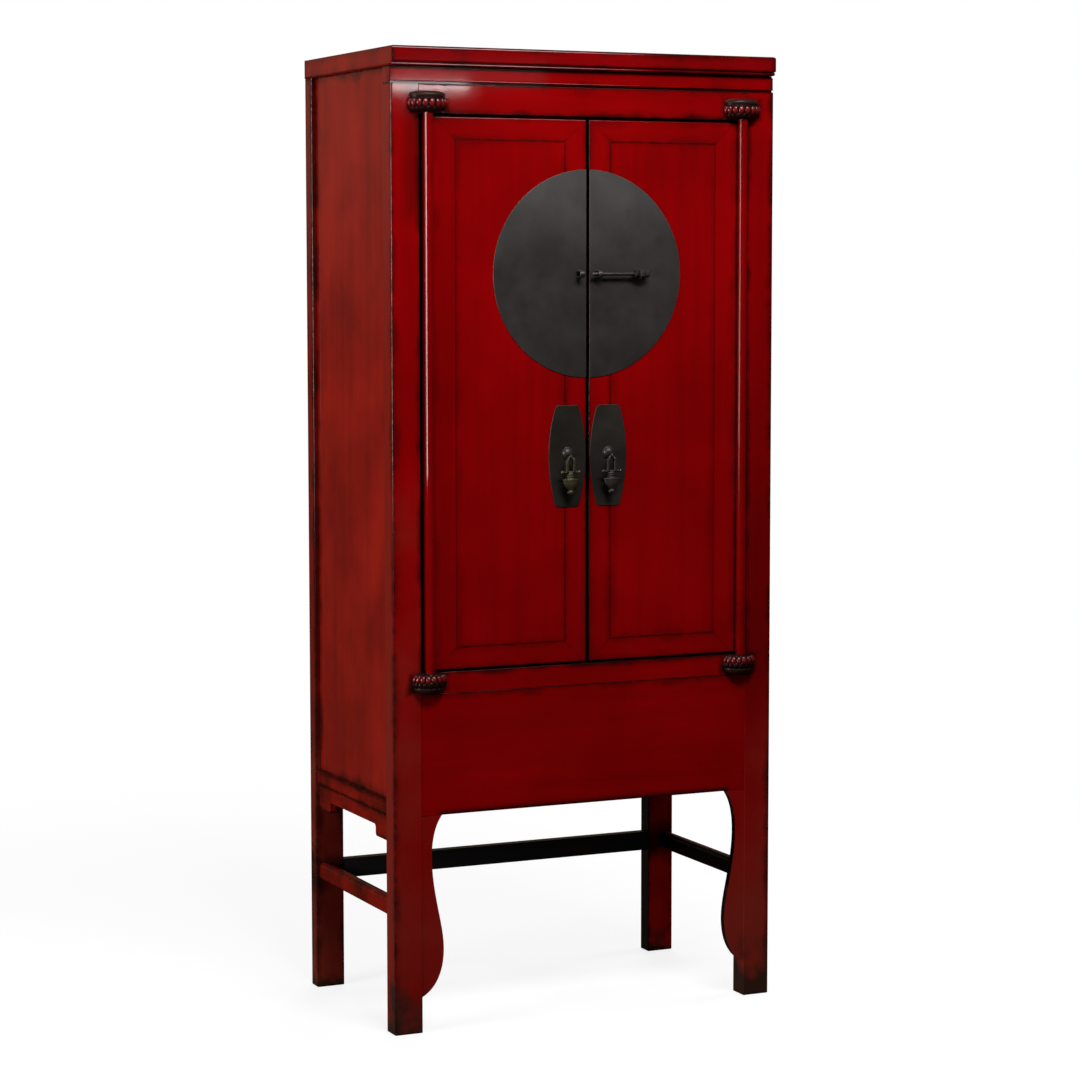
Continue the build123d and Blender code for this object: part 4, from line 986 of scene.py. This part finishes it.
@dataclass
class LockFittings:
    """The sliding pin, forged in one with its faceted head, and the two strap staples. Sizes in millimetres.

    Attributes:
        pin: distances from its tip, radii, and how far each place is faceted.
        polish: distances from its tip, and relief there.
    """

    staple_strap: float = 1.3
    staple_half_width: float = 5.0
    staple_radius: float = 5.8
    shank_to: float = 90.0
    pin: Sequence[tuple[float, float, float]] = (
        (0.0, 1.6, 0.0), (1.0, 2.7, 0.0), (3.0, 3.3, 0.0), (12.0, 3.5, 0.0), (40.0, 3.35, 0.0),
        (70.0, 3.5, 0.0), (90.0, 3.5, 0.0), (91.0, 6.4, 0.3), (92.8, 7.9, 0.5), (96.4, 7.9, 0.5),
        (98.2, 6.2, 0.3), (99.0, 5.6, 0.2), (100.2, 7.4, 0.6), (102.6, 9.4, 1.0), (108.4, 9.4, 1.0),
        (111.0, 6.4, 0.8), (112.0, 5.8, 0.8), (113.2, 7.0, 1.0), (119.6, 7.2, 1.0), (121.8, 5.6, 1.0),
        (122.9, 3.0, 0.6), (123.0, 0.6, 0.0),
    )
    polish: Sequence[tuple[float, float]] = (
        (0.0, 1.0), (40.0, 0.7), (92.0, 0.4), (97.0, 0.2), (102.0, 0.9), (112.0, 0.9), (123.0, 0.6),
    )

    def staple(self) -> list[Shell]:
        """Work out the left-hand staple: a strap out of the plate, round the pin and back.

        Returns:
            Its closed skins.
        """
        low, high = corners("left_lock_staple")
        x, z = (low[0] + high[0]) / 2, (low[2] + high[2]) / 2
        bend = arc((low[1] + self.staple_radius + self.staple_strap, z), self.staple_radius, 90, 270, 19)
        foot = np.array([(0.6, 1.2), (-1.2, 0.5), (-4.0, 0.0)]) + (PLATE_Y, z + self.staple_radius)
        back = np.array([0.0, 2 * z]) + foot[::-1] * np.array([1.0, -1.0])
        path = np.insert(flowing(np.vstack([foot, bend, back]), 3), 0, x, axis=1)
        strap = swept(path, (1.0, 0.0, 0.0), self.staple_half_width, self.staple_strap, 4.5, 32)
        return [strap, rivet(x, z)]

    def lock_pin(self) -> Shell:
        """Work out the pin.

        Round the pin, the radius is mixed between a circle and a square with cut corners: the least of the
        half side over the cosine, the half side over the sine, and the cut over their sum. Along the shank it
        waves by a fiftieth, as forging leaves it.

        Returns:
            Its closed skin.
        """
        low, high = corners("lock_pin")
        line = np.asarray(self.pin)
        along = np.unique(np.concatenate([np.linspace(0, line[-1, 0], 260), line[:, 0]]))[:, None]
        radius = np.interp(along, line[:, 0], line[:, 1])
        facet = np.interp(along, line[:, 0], line[:, 2])
        angle = np.linspace(0, 2 * np.pi, 64, endpoint=False)[None, :]
        cos, sin = np.abs(np.cos(angle)), np.abs(np.sin(angle))
        faceted = np.minimum(1 / np.maximum(cos, sin), 1.42 / (cos + sin))
        wave = 1 + 0.02 * np.sin(along / 5.1 + 2 * angle) * (along < self.shank_to)
        reach = radius * ((1 - facet) + facet * faceted) * wave
        x = np.broadcast_to(low[0] + along, reach.shape)
        y, z = (low[1] + high[1]) / 2, (low[2] + high[2]) / 2
        relief = np.interp(along, *zip(*self.polish))
        return Shell(np.stack([x, y + reach * np.cos(angle), z + reach * np.sin(angle)], axis=-1),
                     np.broadcast_to(relief, reach.shape))


@dataclass
class DrawerKnob:
    """A turned brass knob on its rose: heights and radii in millimetres."""

    profile: Sequence[tuple[float, float]] = (
        (0.0, 13.0), (0.8, 12.9), (1.4, 11.4), (1.9, 10.6), (2.0, 8.4), (2.6, 5.4), (4.5, 4.0), (7.5, 3.8),
        (9.2, 5.2), (10.4, 7.4), (13.0, 8.9), (16.0, 8.2), (18.4, 5.2), (19.2, 3.4), (19.5, 2.4), (20.0, 0.4),
    )

    def shell(self, side: str) -> Shell:
        """Work out one side's drawer knob.

        Args:
            side: left or right.

        Returns:
            Its closed skin.
        """
        low, high = corners(f"{side}_drawer_pull")
        centre = ((low[0] + high[0]) / 2, high[1], (low[2] + high[2]) / 2)
        return turned(flowing(self.profile, 5), centre, (0, -1, 0), (1, 0, 0))


# ---------- which piece has which finish


def give_finish(node: str, made: bpy.types.Material) -> None:
    """Give a CAD node's object a finish in place of its plain one.

    Args:
        node: the node's name.
        made: the finish.
    """
    slots = frame["nodes"][node].data.materials
    slots.clear()
    slots.append(made)
    log.info("%s: %s", node, made.name)


@dataclass(frozen=True)
class Dress:
    """How a wooden CAD node is finished.

    Attributes:
        node: the node's name.
        finish: its lacquer.
        grain: the way that the wood runs.
        reveal: how much of its box is hidden.
        inward: the direction, in the folded piece, of the faces that look into the cabinet and stay black; on
            the doors' meeting stiles it also takes in the faces in the gap, painted black as shade.
        inward_from: the cosine between a face and that direction from which it gets black.
        wear: how far the arrises are rubbed through, from 0 to 1.
        dirt_and_shade: how dark it is beside the edges, from grime and from painted shade in joints and
            recesses, from 0 to 1.
        painted_shade_and_joints: rectangles in and round which it is painted black: painted shade, and dark
            joint lines along mitres.
        black_behind: the depth in millimetres behind which it is black all round, which on the doors also
            paints shade on the edges seen in the gaps.
    """

    node: str
    finish: Lacquer
    grain: Grain
    reveal: Reveal = Reveal()
    inward: tuple[float, float, float] | None = None
    inward_from: float = 0.4
    wear: float = 0.92
    dirt_and_shade: float = 0.35
    painted_shade_and_joints: Sequence[Frontage] = ()
    black_behind: float | None = None

    def put_on(self) -> None:
        """Finish the node's object so."""
        give_finish(self.node, self.finish.material(self, frame["nodes"][self.node].data))


@dataclass
class Case:
    """Posts, frames, walls and legs. Sizes in millimetres.

    Attributes:
        tenon: how much of a rail's end is hidden in a post.
        tongue: how much of a panel's edge is hidden in its frame.
        post_tenon: how much of a post's top is hidden in the top frame.
        flush: what lies flush with its neighbour, where no edge shows.
        opening_half_width: half of the width between the front posts.
        apron_free_half: half of the apron's length between the spandrels.
        past_ends: half of a width that ends beyond the case.
        leg_x: how far a leg's middle is from the middle plane.
        leg_half: half of a width that takes in a whole leg.
        bare: the nodes of bare elm, by the way that their grain runs.
    """

    tenon: float = 20.0
    tongue: float = 7.0
    post_tenon: float = 18.5
    flush: float = 60.0
    opening_half_width: float = 350.5
    apron_free_half: float = 306.0
    past_ends: float = 430.0
    leg_x: float = 378.0
    leg_half: float = 34.0
    bare: Sequence[tuple[Grain, str]] = (
        (Grain.ACROSS, "lower_shelf upper_shelf compartment_floor compartment_cover left_door_battens "
                       "right_door_battens"),
        (Grain.DEEP, "shelf_ledgers drawer_partitions compartment_ledgers top_battens left_drawer_box "
                     "right_drawer_box"),
    )

    def dress(self) -> None:
        """Finish the case's CAD nodes."""
        tenons_x = Reveal(x=(self.tenon, self.tenon))
        tenons_y = Reveal(y=(self.tenon, self.tenon), fold_x=True)
        tongues, flush = (self.tongue, self.tongue), (-self.flush, -self.flush)
        front_post = Reveal(x=(0.0, -self.flush), y=(0.0, -self.flush), z=(0.0, self.post_tenon))
        side_panel = Reveal(y=(-self.flush, self.tongue), z=tongues)
        back_post = Reveal(z=(0.0, self.post_tenon))
        to_right, to_left, to_back = (1.0, 0.0, 0.0), (-1.0, 0.0, 0.0), (0.0, 1.0, 0.0)
        opening_z, opening_half = (HEAD_BOTTOM + SILL_TOP) / 2, (HEAD_BOTTOM - SILL_TOP) / 2
        waist_low, waist_high = (float(corner[2]) for corner in corners("waist_moulding"))
        apron_low = float(corners("front_apron")[0][2])
        # painted shade in the grooves under the nose and under the waist moulding
        under_nose = Frontage(0.0, waist_high, self.past_ends, 1.0, 3.0, 0.8, True)
        under_waist = Frontage(0.0, waist_low, self.past_ends, 0.5, 3.0, 0.8, True)
        # the apron is darker along its lower edge
        under_apron = Frontage(0.0, apron_low, self.apron_free_half, 0.5, 10.0, 1.15, True)
        # painted shade, with some grime, round the door opening, and painted shadow round the lotus brackets
        darkening = [Frontage(0.0, opening_z, self.opening_half_width, opening_half, 7.0, 0.75), under_waist]
        for node in ("upper_lotus_brackets", "lower_lotus_brackets"):
            low, high = corners(node)
            darkening.append(Frontage(POLE_X, float(low[2] + high[2]) / 2, 36.0, 13.0, 9.0, 0.9))
        # painted shade beside the left pole
        beside_pole = Frontage(POLE_X, HEAD_BOTTOM - 60.0, 24.0, 110.0, 34.0, 0.5, True)
        # painted shade over the middle of the right post, which the light reaches less
        shade_on_right_post = Frontage(self.leg_x, 800.0, self.leg_half, 160.0, 180.0, 0.3, True)
        # painted shade on the back posts where the side stretchers meet them, and more faintly below
        at_stretcher = Frontage(self.leg_x, 241.0, self.leg_half, 22.0, 22.0, 0.85)
        below_stretcher = Frontage(self.leg_x, 170.0, self.leg_half, 50.0, 34.0, 0.3)
        dresses = [
            Dress("front_left_post", RED_LEG, Grain.UPRIGHT, front_post, dirt_and_shade=0.55,
                  painted_shade_and_joints=[*darkening, beside_pole]),
            Dress("front_right_post", RED_LEG, Grain.UPRIGHT, front_post.mirrored(), dirt_and_shade=0.8,
                  painted_shade_and_joints=[*darkening, shade_on_right_post]),
            Dress("back_left_post", DARKER_BACK_LEG, Grain.UPRIGHT, back_post, to_right, dirt_and_shade=0.7,
                  painted_shade_and_joints=[at_stretcher, below_stretcher]),
            Dress("back_right_post", SHADE_LIFTED_LEG, Grain.UPRIGHT, back_post, to_left, dirt_and_shade=0.45,
                  painted_shade_and_joints=[at_stretcher]),
            Dress("top_front_rail", TOP_LACQUER, Grain.ACROSS, wear=1.0, dirt_and_shade=0.75, painted_shade_and_joints=[under_nose]),
            Dress("top_back_rail", RED_LACQUER, Grain.ACROSS),
            Dress("top_side_rails", SIDE_LACQUER, Grain.DEEP, Reveal(fold_x=True)),
            Dress("top_panel", RED_LACQUER, Grain.ACROSS, Reveal(x=tongues, y=tongues)),
            Dress("waist_moulding", RED_LACQUER, Grain.ACROSS, dirt_and_shade=0.5, painted_shade_and_joints=[under_nose, under_waist]),
            Dress("door_head_rail", RED_LACQUER, Grain.ACROSS, Reveal(x=flush, z=(STOP_LIP, 0.0)), to_back,
                  painted_shade_and_joints=darkening),
            Dress("door_sill_rail", RED_LACQUER, Grain.ACROSS, Reveal(x=flush, z=(-self.flush, STOP_LIP)),
                  to_back, painted_shade_and_joints=darkening),
            Dress("front_apron", RED_LACQUER, Grain.ACROSS, Reveal(x=flush, z=(-self.flush, self.tongue)),
                  to_back, dirt_and_shade=0.5, painted_shade_and_joints=[under_apron]),
            Dress("leg_spandrels", RED_LEG, Grain.UPRIGHT, Reveal(x=flush, z=flush, fold_x=True), to_back,
                  -0.95),
            Dress("left_side_panel", SIDE_LACQUER, Grain.UPRIGHT, side_panel, to_right, dirt_and_shade=0.75),
            Dress("right_side_panel", SIDE_LACQUER, Grain.UPRIGHT, side_panel, to_left, dirt_and_shade=0.75),
            Dress("side_rails", WORN_LACQUER, Grain.DEEP, tenons_y, to_left, dirt_and_shade=0.8),
            Dress("side_aprons", WORN_LACQUER, Grain.DEEP, Reveal(fold_x=True), to_left, dirt_and_shade=0.8),
            Dress("side_stretchers", WORN_LACQUER, Grain.DEEP, tenons_y, (-0.87, 0.0, 0.5), dirt_and_shade=0.5),
        ]
        dresses += [Dress(node, DARK_LACQUER, Grain.ACROSS, tenons_x)
                    for node in ("back_stretcher", "back_bottom_rail", "back_middle_rail")]
        dresses += [Dress(node, DARK_LACQUER, Grain.UPRIGHT, Reveal(x=tongues, z=tongues))
                    for node in ("back_lower_panel", "back_upper_panel")]
        dresses += [Dress(node, RED_LACQUER, Grain.ACROSS)
                    for node in ("left_drawer_front", "right_drawer_front")]
        for dress in dresses:
            dress.put_on()
        for grain, nodes in self.bare:
            elm = AgedElm().material(grain)
            for node in nodes.split():
                give_finish(node, elm)


@dataclass
class Doors:
    """The two doors with their plates and fittings. Sizes in millimetres.

    Attributes:
        panel_tongue: how far the panel reaches into its frame.
        flush: what lies flush with its neighbour, as in the case.
        pole: the pole's thickness.
        pole_stands_out: how far it stands out of the stile.
        lower_pivot: the length of the pivot below, with its shoulder.
        upper_pivot: the same above.
        black_depth: how far from its back a door's edge is black, as painted shade on the edges seen in the
            gaps.
    """

    panel_tongue: float = 8.7
    flush: float = 60.0
    pole: float = 19.0
    pole_stands_out: float = 17.0
    lower_pivot: float = 24.5
    upper_pivot: float = 28.5
    black_depth: float = 12.0

    def dress(self) -> None:
        """Finish both doors' CAD nodes."""
        to_back, tongues = (0.0, 1.0, 0.0), (self.panel_tongue, self.panel_tongue)
        pole_stile = Reveal(x=(self.pole, -self.flush), y=(self.pole_stands_out, 0.0),
                            z=(self.lower_pivot, self.upper_pivot))
        rails = Reveal(x=(-self.flush, -self.flush), fold_z=True)
        disc, plate = DISC_BRASS.material(), PLATE_BRASS.material()
        low, high = corners("right_door_panel")
        x, _, z = ((low + high) / 2).tolist()
        across, _, up = ((high - low) / 2 - self.panel_tongue).tolist()
        mitres = Frontage(x, z, across, up, 2.0, 0.3, True, True)
        # the doors' meeting edges painted dark: wear, and painted shade in the gap between them
        meeting = Frontage(0.0, z, 2.8, up + 60.0, 3.0, 0.9, True)
        # painted shade over each pole and just beside it
        on_pole = Frontage(POLE_X, z, 10.5, up + 60.0, 2.0, 0.24, True)
        # behind this depth the door is painted black: its back, and as painted shade its edges seen in the
        # gaps
        deep = DOOR_BACK_Y - self.black_depth
        for side, stile, finish, sign in (("left", pole_stile, RED_LACQUER, 1.0),
                                          ("right", pole_stile.mirrored(), DULL_LACQUER, -1.0)):
            for dress in (
                Dress(f"{side}_door_pole_stile", finish, Grain.UPRIGHT, stile, to_back, wear=0.7,
                      painted_shade_and_joints=[mitres, on_pole], black_behind=deep),
                # the inward direction takes in the meeting edge, whose face in the gap is painted black as
                # shade
                Dress(f"{side}_door_inner_stile", RED_LACQUER, Grain.UPRIGHT, Reveal(),
                      (sign * 0.75, 0.75, 0.0), wear=0.75, dirt_and_shade=0.3, painted_shade_and_joints=[mitres, meeting],
                      black_behind=deep),
                Dress(f"{side}_door_rails", RED_LACQUER, Grain.ACROSS, rails, to_back, wear=0.65,
                      painted_shade_and_joints=[mitres, meeting], black_behind=deep),
                Dress(f"{side}_door_panel", RED_LACQUER, Grain.UPRIGHT, Reveal(x=tongues, z=tongues), to_back,
                      wear=0.3, dirt_and_shade=0.3, black_behind=deep),
            ):
                dress.put_on()
            give_finish(f"{side}_half_disc", disc)
            give_finish(f"{side}_handle_plate", plate)

    def build(self) -> None:
        """Make the cast and forged pieces that stand for the plain fittings."""
        dark, bright = DARK_BRASS.material(), BRIGHT_BRASS.material()
        pull, lock, knob = PullFittings(), LockFittings(), DrawerKnob()
        for side, brass in (("left", bright), ("right", dark)):
            for part, shells, metal, body in (
                ("pull_drop", pull.drop(), brass, f"{side}_pull"),
                ("pull_boss", pull.boss(), dark, f"{side}_door"),
                ("lock_staple", lock.staple(), dark, f"{side}_door"),
            ):
                if side == "right":
                    shells = [shell.mirrored() for shell in shells]
                make_piece(f"{side}_cast_{part}", shells, metal, body, f"{side}_{part}")
            make_piece(f"{side}_turned_drawer_knob", [knob.shell(side)], bright, f"{side}_drawer",
                       f"{side}_drawer_pull")
        make_piece("forged_lock_pin", [lock.lock_pin()], dark, "lock_pin", "lock_pin", 22.0)


# ---------- studio and camera


@dataclass(frozen=True)
class Softbox:
    """A rectangular studio light. Places and sizes in metres, power in watts."""

    name: str
    place: tuple[float, float, float]
    aim: tuple[float, float, float]
    width: float
    height: float
    watts: float
    diffuse: bool = True
    glossy: bool = True

    def hang(self) -> None:
        """Hang the light, turned so that it shines at its aim."""
        lamp = bpy.data.lights.new(self.name, "AREA")
        lamp.shape = "RECTANGLE"
        lamp.size, lamp.size_y, lamp.energy = self.width, self.height, self.watts
        holder = bpy.data.objects.new(self.name, lamp)
        bpy.context.scene.collection.objects.link(holder)
        away = np.array(self.place) - np.array(self.aim)
        flat = math.hypot(away[0], away[1])
        holder.location = self.place
        holder.rotation_euler = (math.atan2(flat, away[2]), 0.0, math.atan2(away[0], -away[1]))
        holder.visible_camera = False
        holder.visible_diffuse, holder.visible_glossy = self.diffuse, self.glossy


@dataclass
class Studio:
    """Pale floor, pale surroundings, soft lights and the camera. Places in metres."""

    camera_place: tuple[float, float, float] = (-2.4733, -5.3743, 1.4713)
    camera_turn_degrees: tuple[float, float, float] = (84.69, 0.04, -24.693)
    lens_mm: float = 98.43
    sensor_mm: float = 36.0
    sees_to: float = 60.0
    floor_radius: float = 9.0
    floor_rings: int = 23
    floor_points_around: int = 64
    lit_floor: tuple[float, float] = (1.12, 2.8)
    floor_shade: str = "#909090"
    floor_glow: float = 0.8
    pale: str = "#ffffff"
    backdrop: str = "#ffe2c4"
    softboxes: Sequence[Softbox] = (
        Softbox("left_softbox", (-3.3, -0.73, 1.5), (0.0, -0.1, 1.4), 1.2, 1.3, 59.0),
        Softbox("high_front_softbox", (-0.15, -2.1, 3.45), (0.0, -0.2, 1.0), 1.4, 0.7, 68.0),
        Softbox("bead_card", (0.92, -2.33, 3.5), (-0.25, -0.22, 1.85), 0.7, 1.3, 28.0, diffuse=False),
        Softbox("narrow_strip", (1.65, -5.0, 2.115), (-0.35, -0.2, 1.8), 0.3, 0.015, 0.42, diffuse=False),
        Softbox("strip_glow", (1.80, -5.01, 2.16), (-0.35, -0.2, 1.8), 0.6, 0.09, 0.045, diffuse=False),
        Softbox("back_fill", (1.6, 3.4, 2.6), (0.0, 0.2, 1.0), 2.0, 1.5, 60.0, glossy=False),
        Softbox("right_fill", (3.4, 0.4, 2.2), (0.0, 0.0, 1.0), 1.6, 1.4, 40.0, glossy=False),
    )

    def place_camera(self) -> None:
        """Set up the camera."""
        camera = bpy.data.cameras.new("camera")
        camera.lens, camera.sensor_width, camera.clip_end = self.lens_mm, self.sensor_mm, self.sees_to
        holder = bpy.data.objects.new("camera", camera)
        bpy.context.scene.collection.objects.link(holder)
        holder.location = self.camera_place
        holder.rotation_euler = [math.radians(angle) for angle in self.camera_turn_degrees]
        bpy.context.scene.camera = holder

    def lay_floor(self) -> None:
        """Lay a round floor: rings of points whose radius grows with the square of the ring's share.

        Near the cabinet it takes its shade, and farther out it only glows, as pale as the room.
        """
        count, around = self.floor_rings, self.floor_points_around
        radius = self.floor_radius * np.linspace(0, 1, count + 1)[1:, None] ** 2
        angle = np.linspace(0, 2 * np.pi, around, endpoint=False)[None, :]
        x, y = radius * np.cos(angle), radius * np.sin(angle)
        faces = [*faces_between_rings(count, around)[:, ::-1].tolist(), list(range(around))]
        mesh = bpy.data.meshes.new("floor")
        mesh.from_pydata(np.stack([x, y, np.zeros_like(x)], axis=-1).reshape(-1, 3).tolist(), [], faces)
        floor = bpy.data.objects.new("floor", mesh)
        bpy.context.scene.collection.objects.link(floor)
        made = bpy.data.materials.new("pale_studio_floor")
        add = Recipe(made).add
        distance = add(VECTOR, {0: add(COORDINATES, out="Object")}, "Value", operation="LENGTH")
        far = add(RANGE, {"Value": distance, "From Min": self.lit_floor[0], "From Max": self.lit_floor[1]},
                  interpolation_type="SMOOTHSTEP")
        lit = add("ShaderNodeBsdfDiffuse", {"Color": linear(self.floor_shade)})
        glow = add("ShaderNodeEmission", {"Color": linear(self.pale), "Strength": self.floor_glow})
        near_shader = add("ShaderNodeAddShader", {0: lit, 1: glow})
        far_shader = add("ShaderNodeEmission", {"Color": linear(self.pale), "Strength": 1.0})
        shader = add("ShaderNodeMixShader", {0: far, 1: near_shader, 2: far_shader})
        add(OUTPUT, {"Surface": shader}, None)
        mesh.materials.append(made)
        floor.visible_glossy = False
        floor.visible_diffuse = False

    def fill_room(self) -> None:
        """Surround the scene: pale to look at, and in reflections bright behind the cabinet, dark ahead."""
        world = bpy.data.worlds.new("room")
        bpy.context.scene.world = world
        add = Recipe(world).add
        rays = add("ShaderNodeLightPath", out=None)
        _, y, z = add(SEPARATE, {0: add(COORDINATES, out="Generated")}, None).outputs
        behind = add(RANGE, {"Value": y, "From Min": 0.0, "From Max": 0.95, "To Min": 0.006, "To Max": 0.2},
                     interpolation_type="SMOOTHSTEP")
        above = add(RANGE, {"Value": z, "From Min": -0.05, "From Max": 0.08, "To Min": 0.2, "To Max": 1.0},
                    interpolation_type="SMOOTHSTEP")
        strength = add(MATH, {0: behind, 1: above}, operation="MULTIPLY")
        for kind, level in (("Is Diffuse Ray", 0.05), ("Is Camera Ray", 1.0)):
            strength = add(MIX, {FACTOR: rays.outputs[kind], 2: strength, 3: level}, data_type="FLOAT")
        tint = add(MIX, {FACTOR: rays.outputs["Is Glossy Ray"], FIRST: linear(self.pale),
                         SECOND: linear(self.backdrop)}, MIXED, data_type="RGBA")
        background = add("ShaderNodeBackground", {"Color": tint, "Strength": strength})
        add("ShaderNodeOutputWorld", {"Surface": background}, None)

    def set_up(self) -> None:
        """Make the whole studio."""
        bpy.context.scene.view_settings.view_transform = "Standard"
        self.place_camera()
        self.lay_floor()
        self.fill_room()
        for softbox in self.softboxes:
            softbox.hang()


def main() -> None:
    """Set up the studio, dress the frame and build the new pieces."""
    Studio().set_up()
    Case().dress()
    doors = Doors()
    doors.dress()
    doors.build()
    carving = CarvedLacquer().material()
    shoulder = ((31.0, 0.875), (33.6, 0.86), (36.2, 0.79), (38.0, 0.67), (38.8, 0.54), (39.0, 0.44))
    rounded = ((31.0, 0.84), (33.8, 0.78), (36.4, 0.67), (38.2, 0.53), (38.9, 0.42), (39.0, 0.36))
    # the lower row of each bracket, in its shadow, gets a small share and is painted darker as painted shade
    below_rim = ((5.0, 5.2, 2.6, 0.5, 0.35), (16.0, 9.6, 5.8, 0.0, 1.0))
    at_mouth = ((21.0, 6.5, 3.0, 0.5, 0.25), (10.0, 8.6, 5.2, 0.0, 1.0))
    for brackets in (
        LotusBrackets("upper_lotus_carvings", "upper_lotus_brackets", True, 40.4, shoulder, below_rim, 29.5),
        LotusBrackets("lower_lotus_carvings", "lower_lotus_brackets", False, 36.4, rounded, at_mouth, 26.0),
    ):
        brackets.build(carving)


if __name__ == "__main__":
    main()
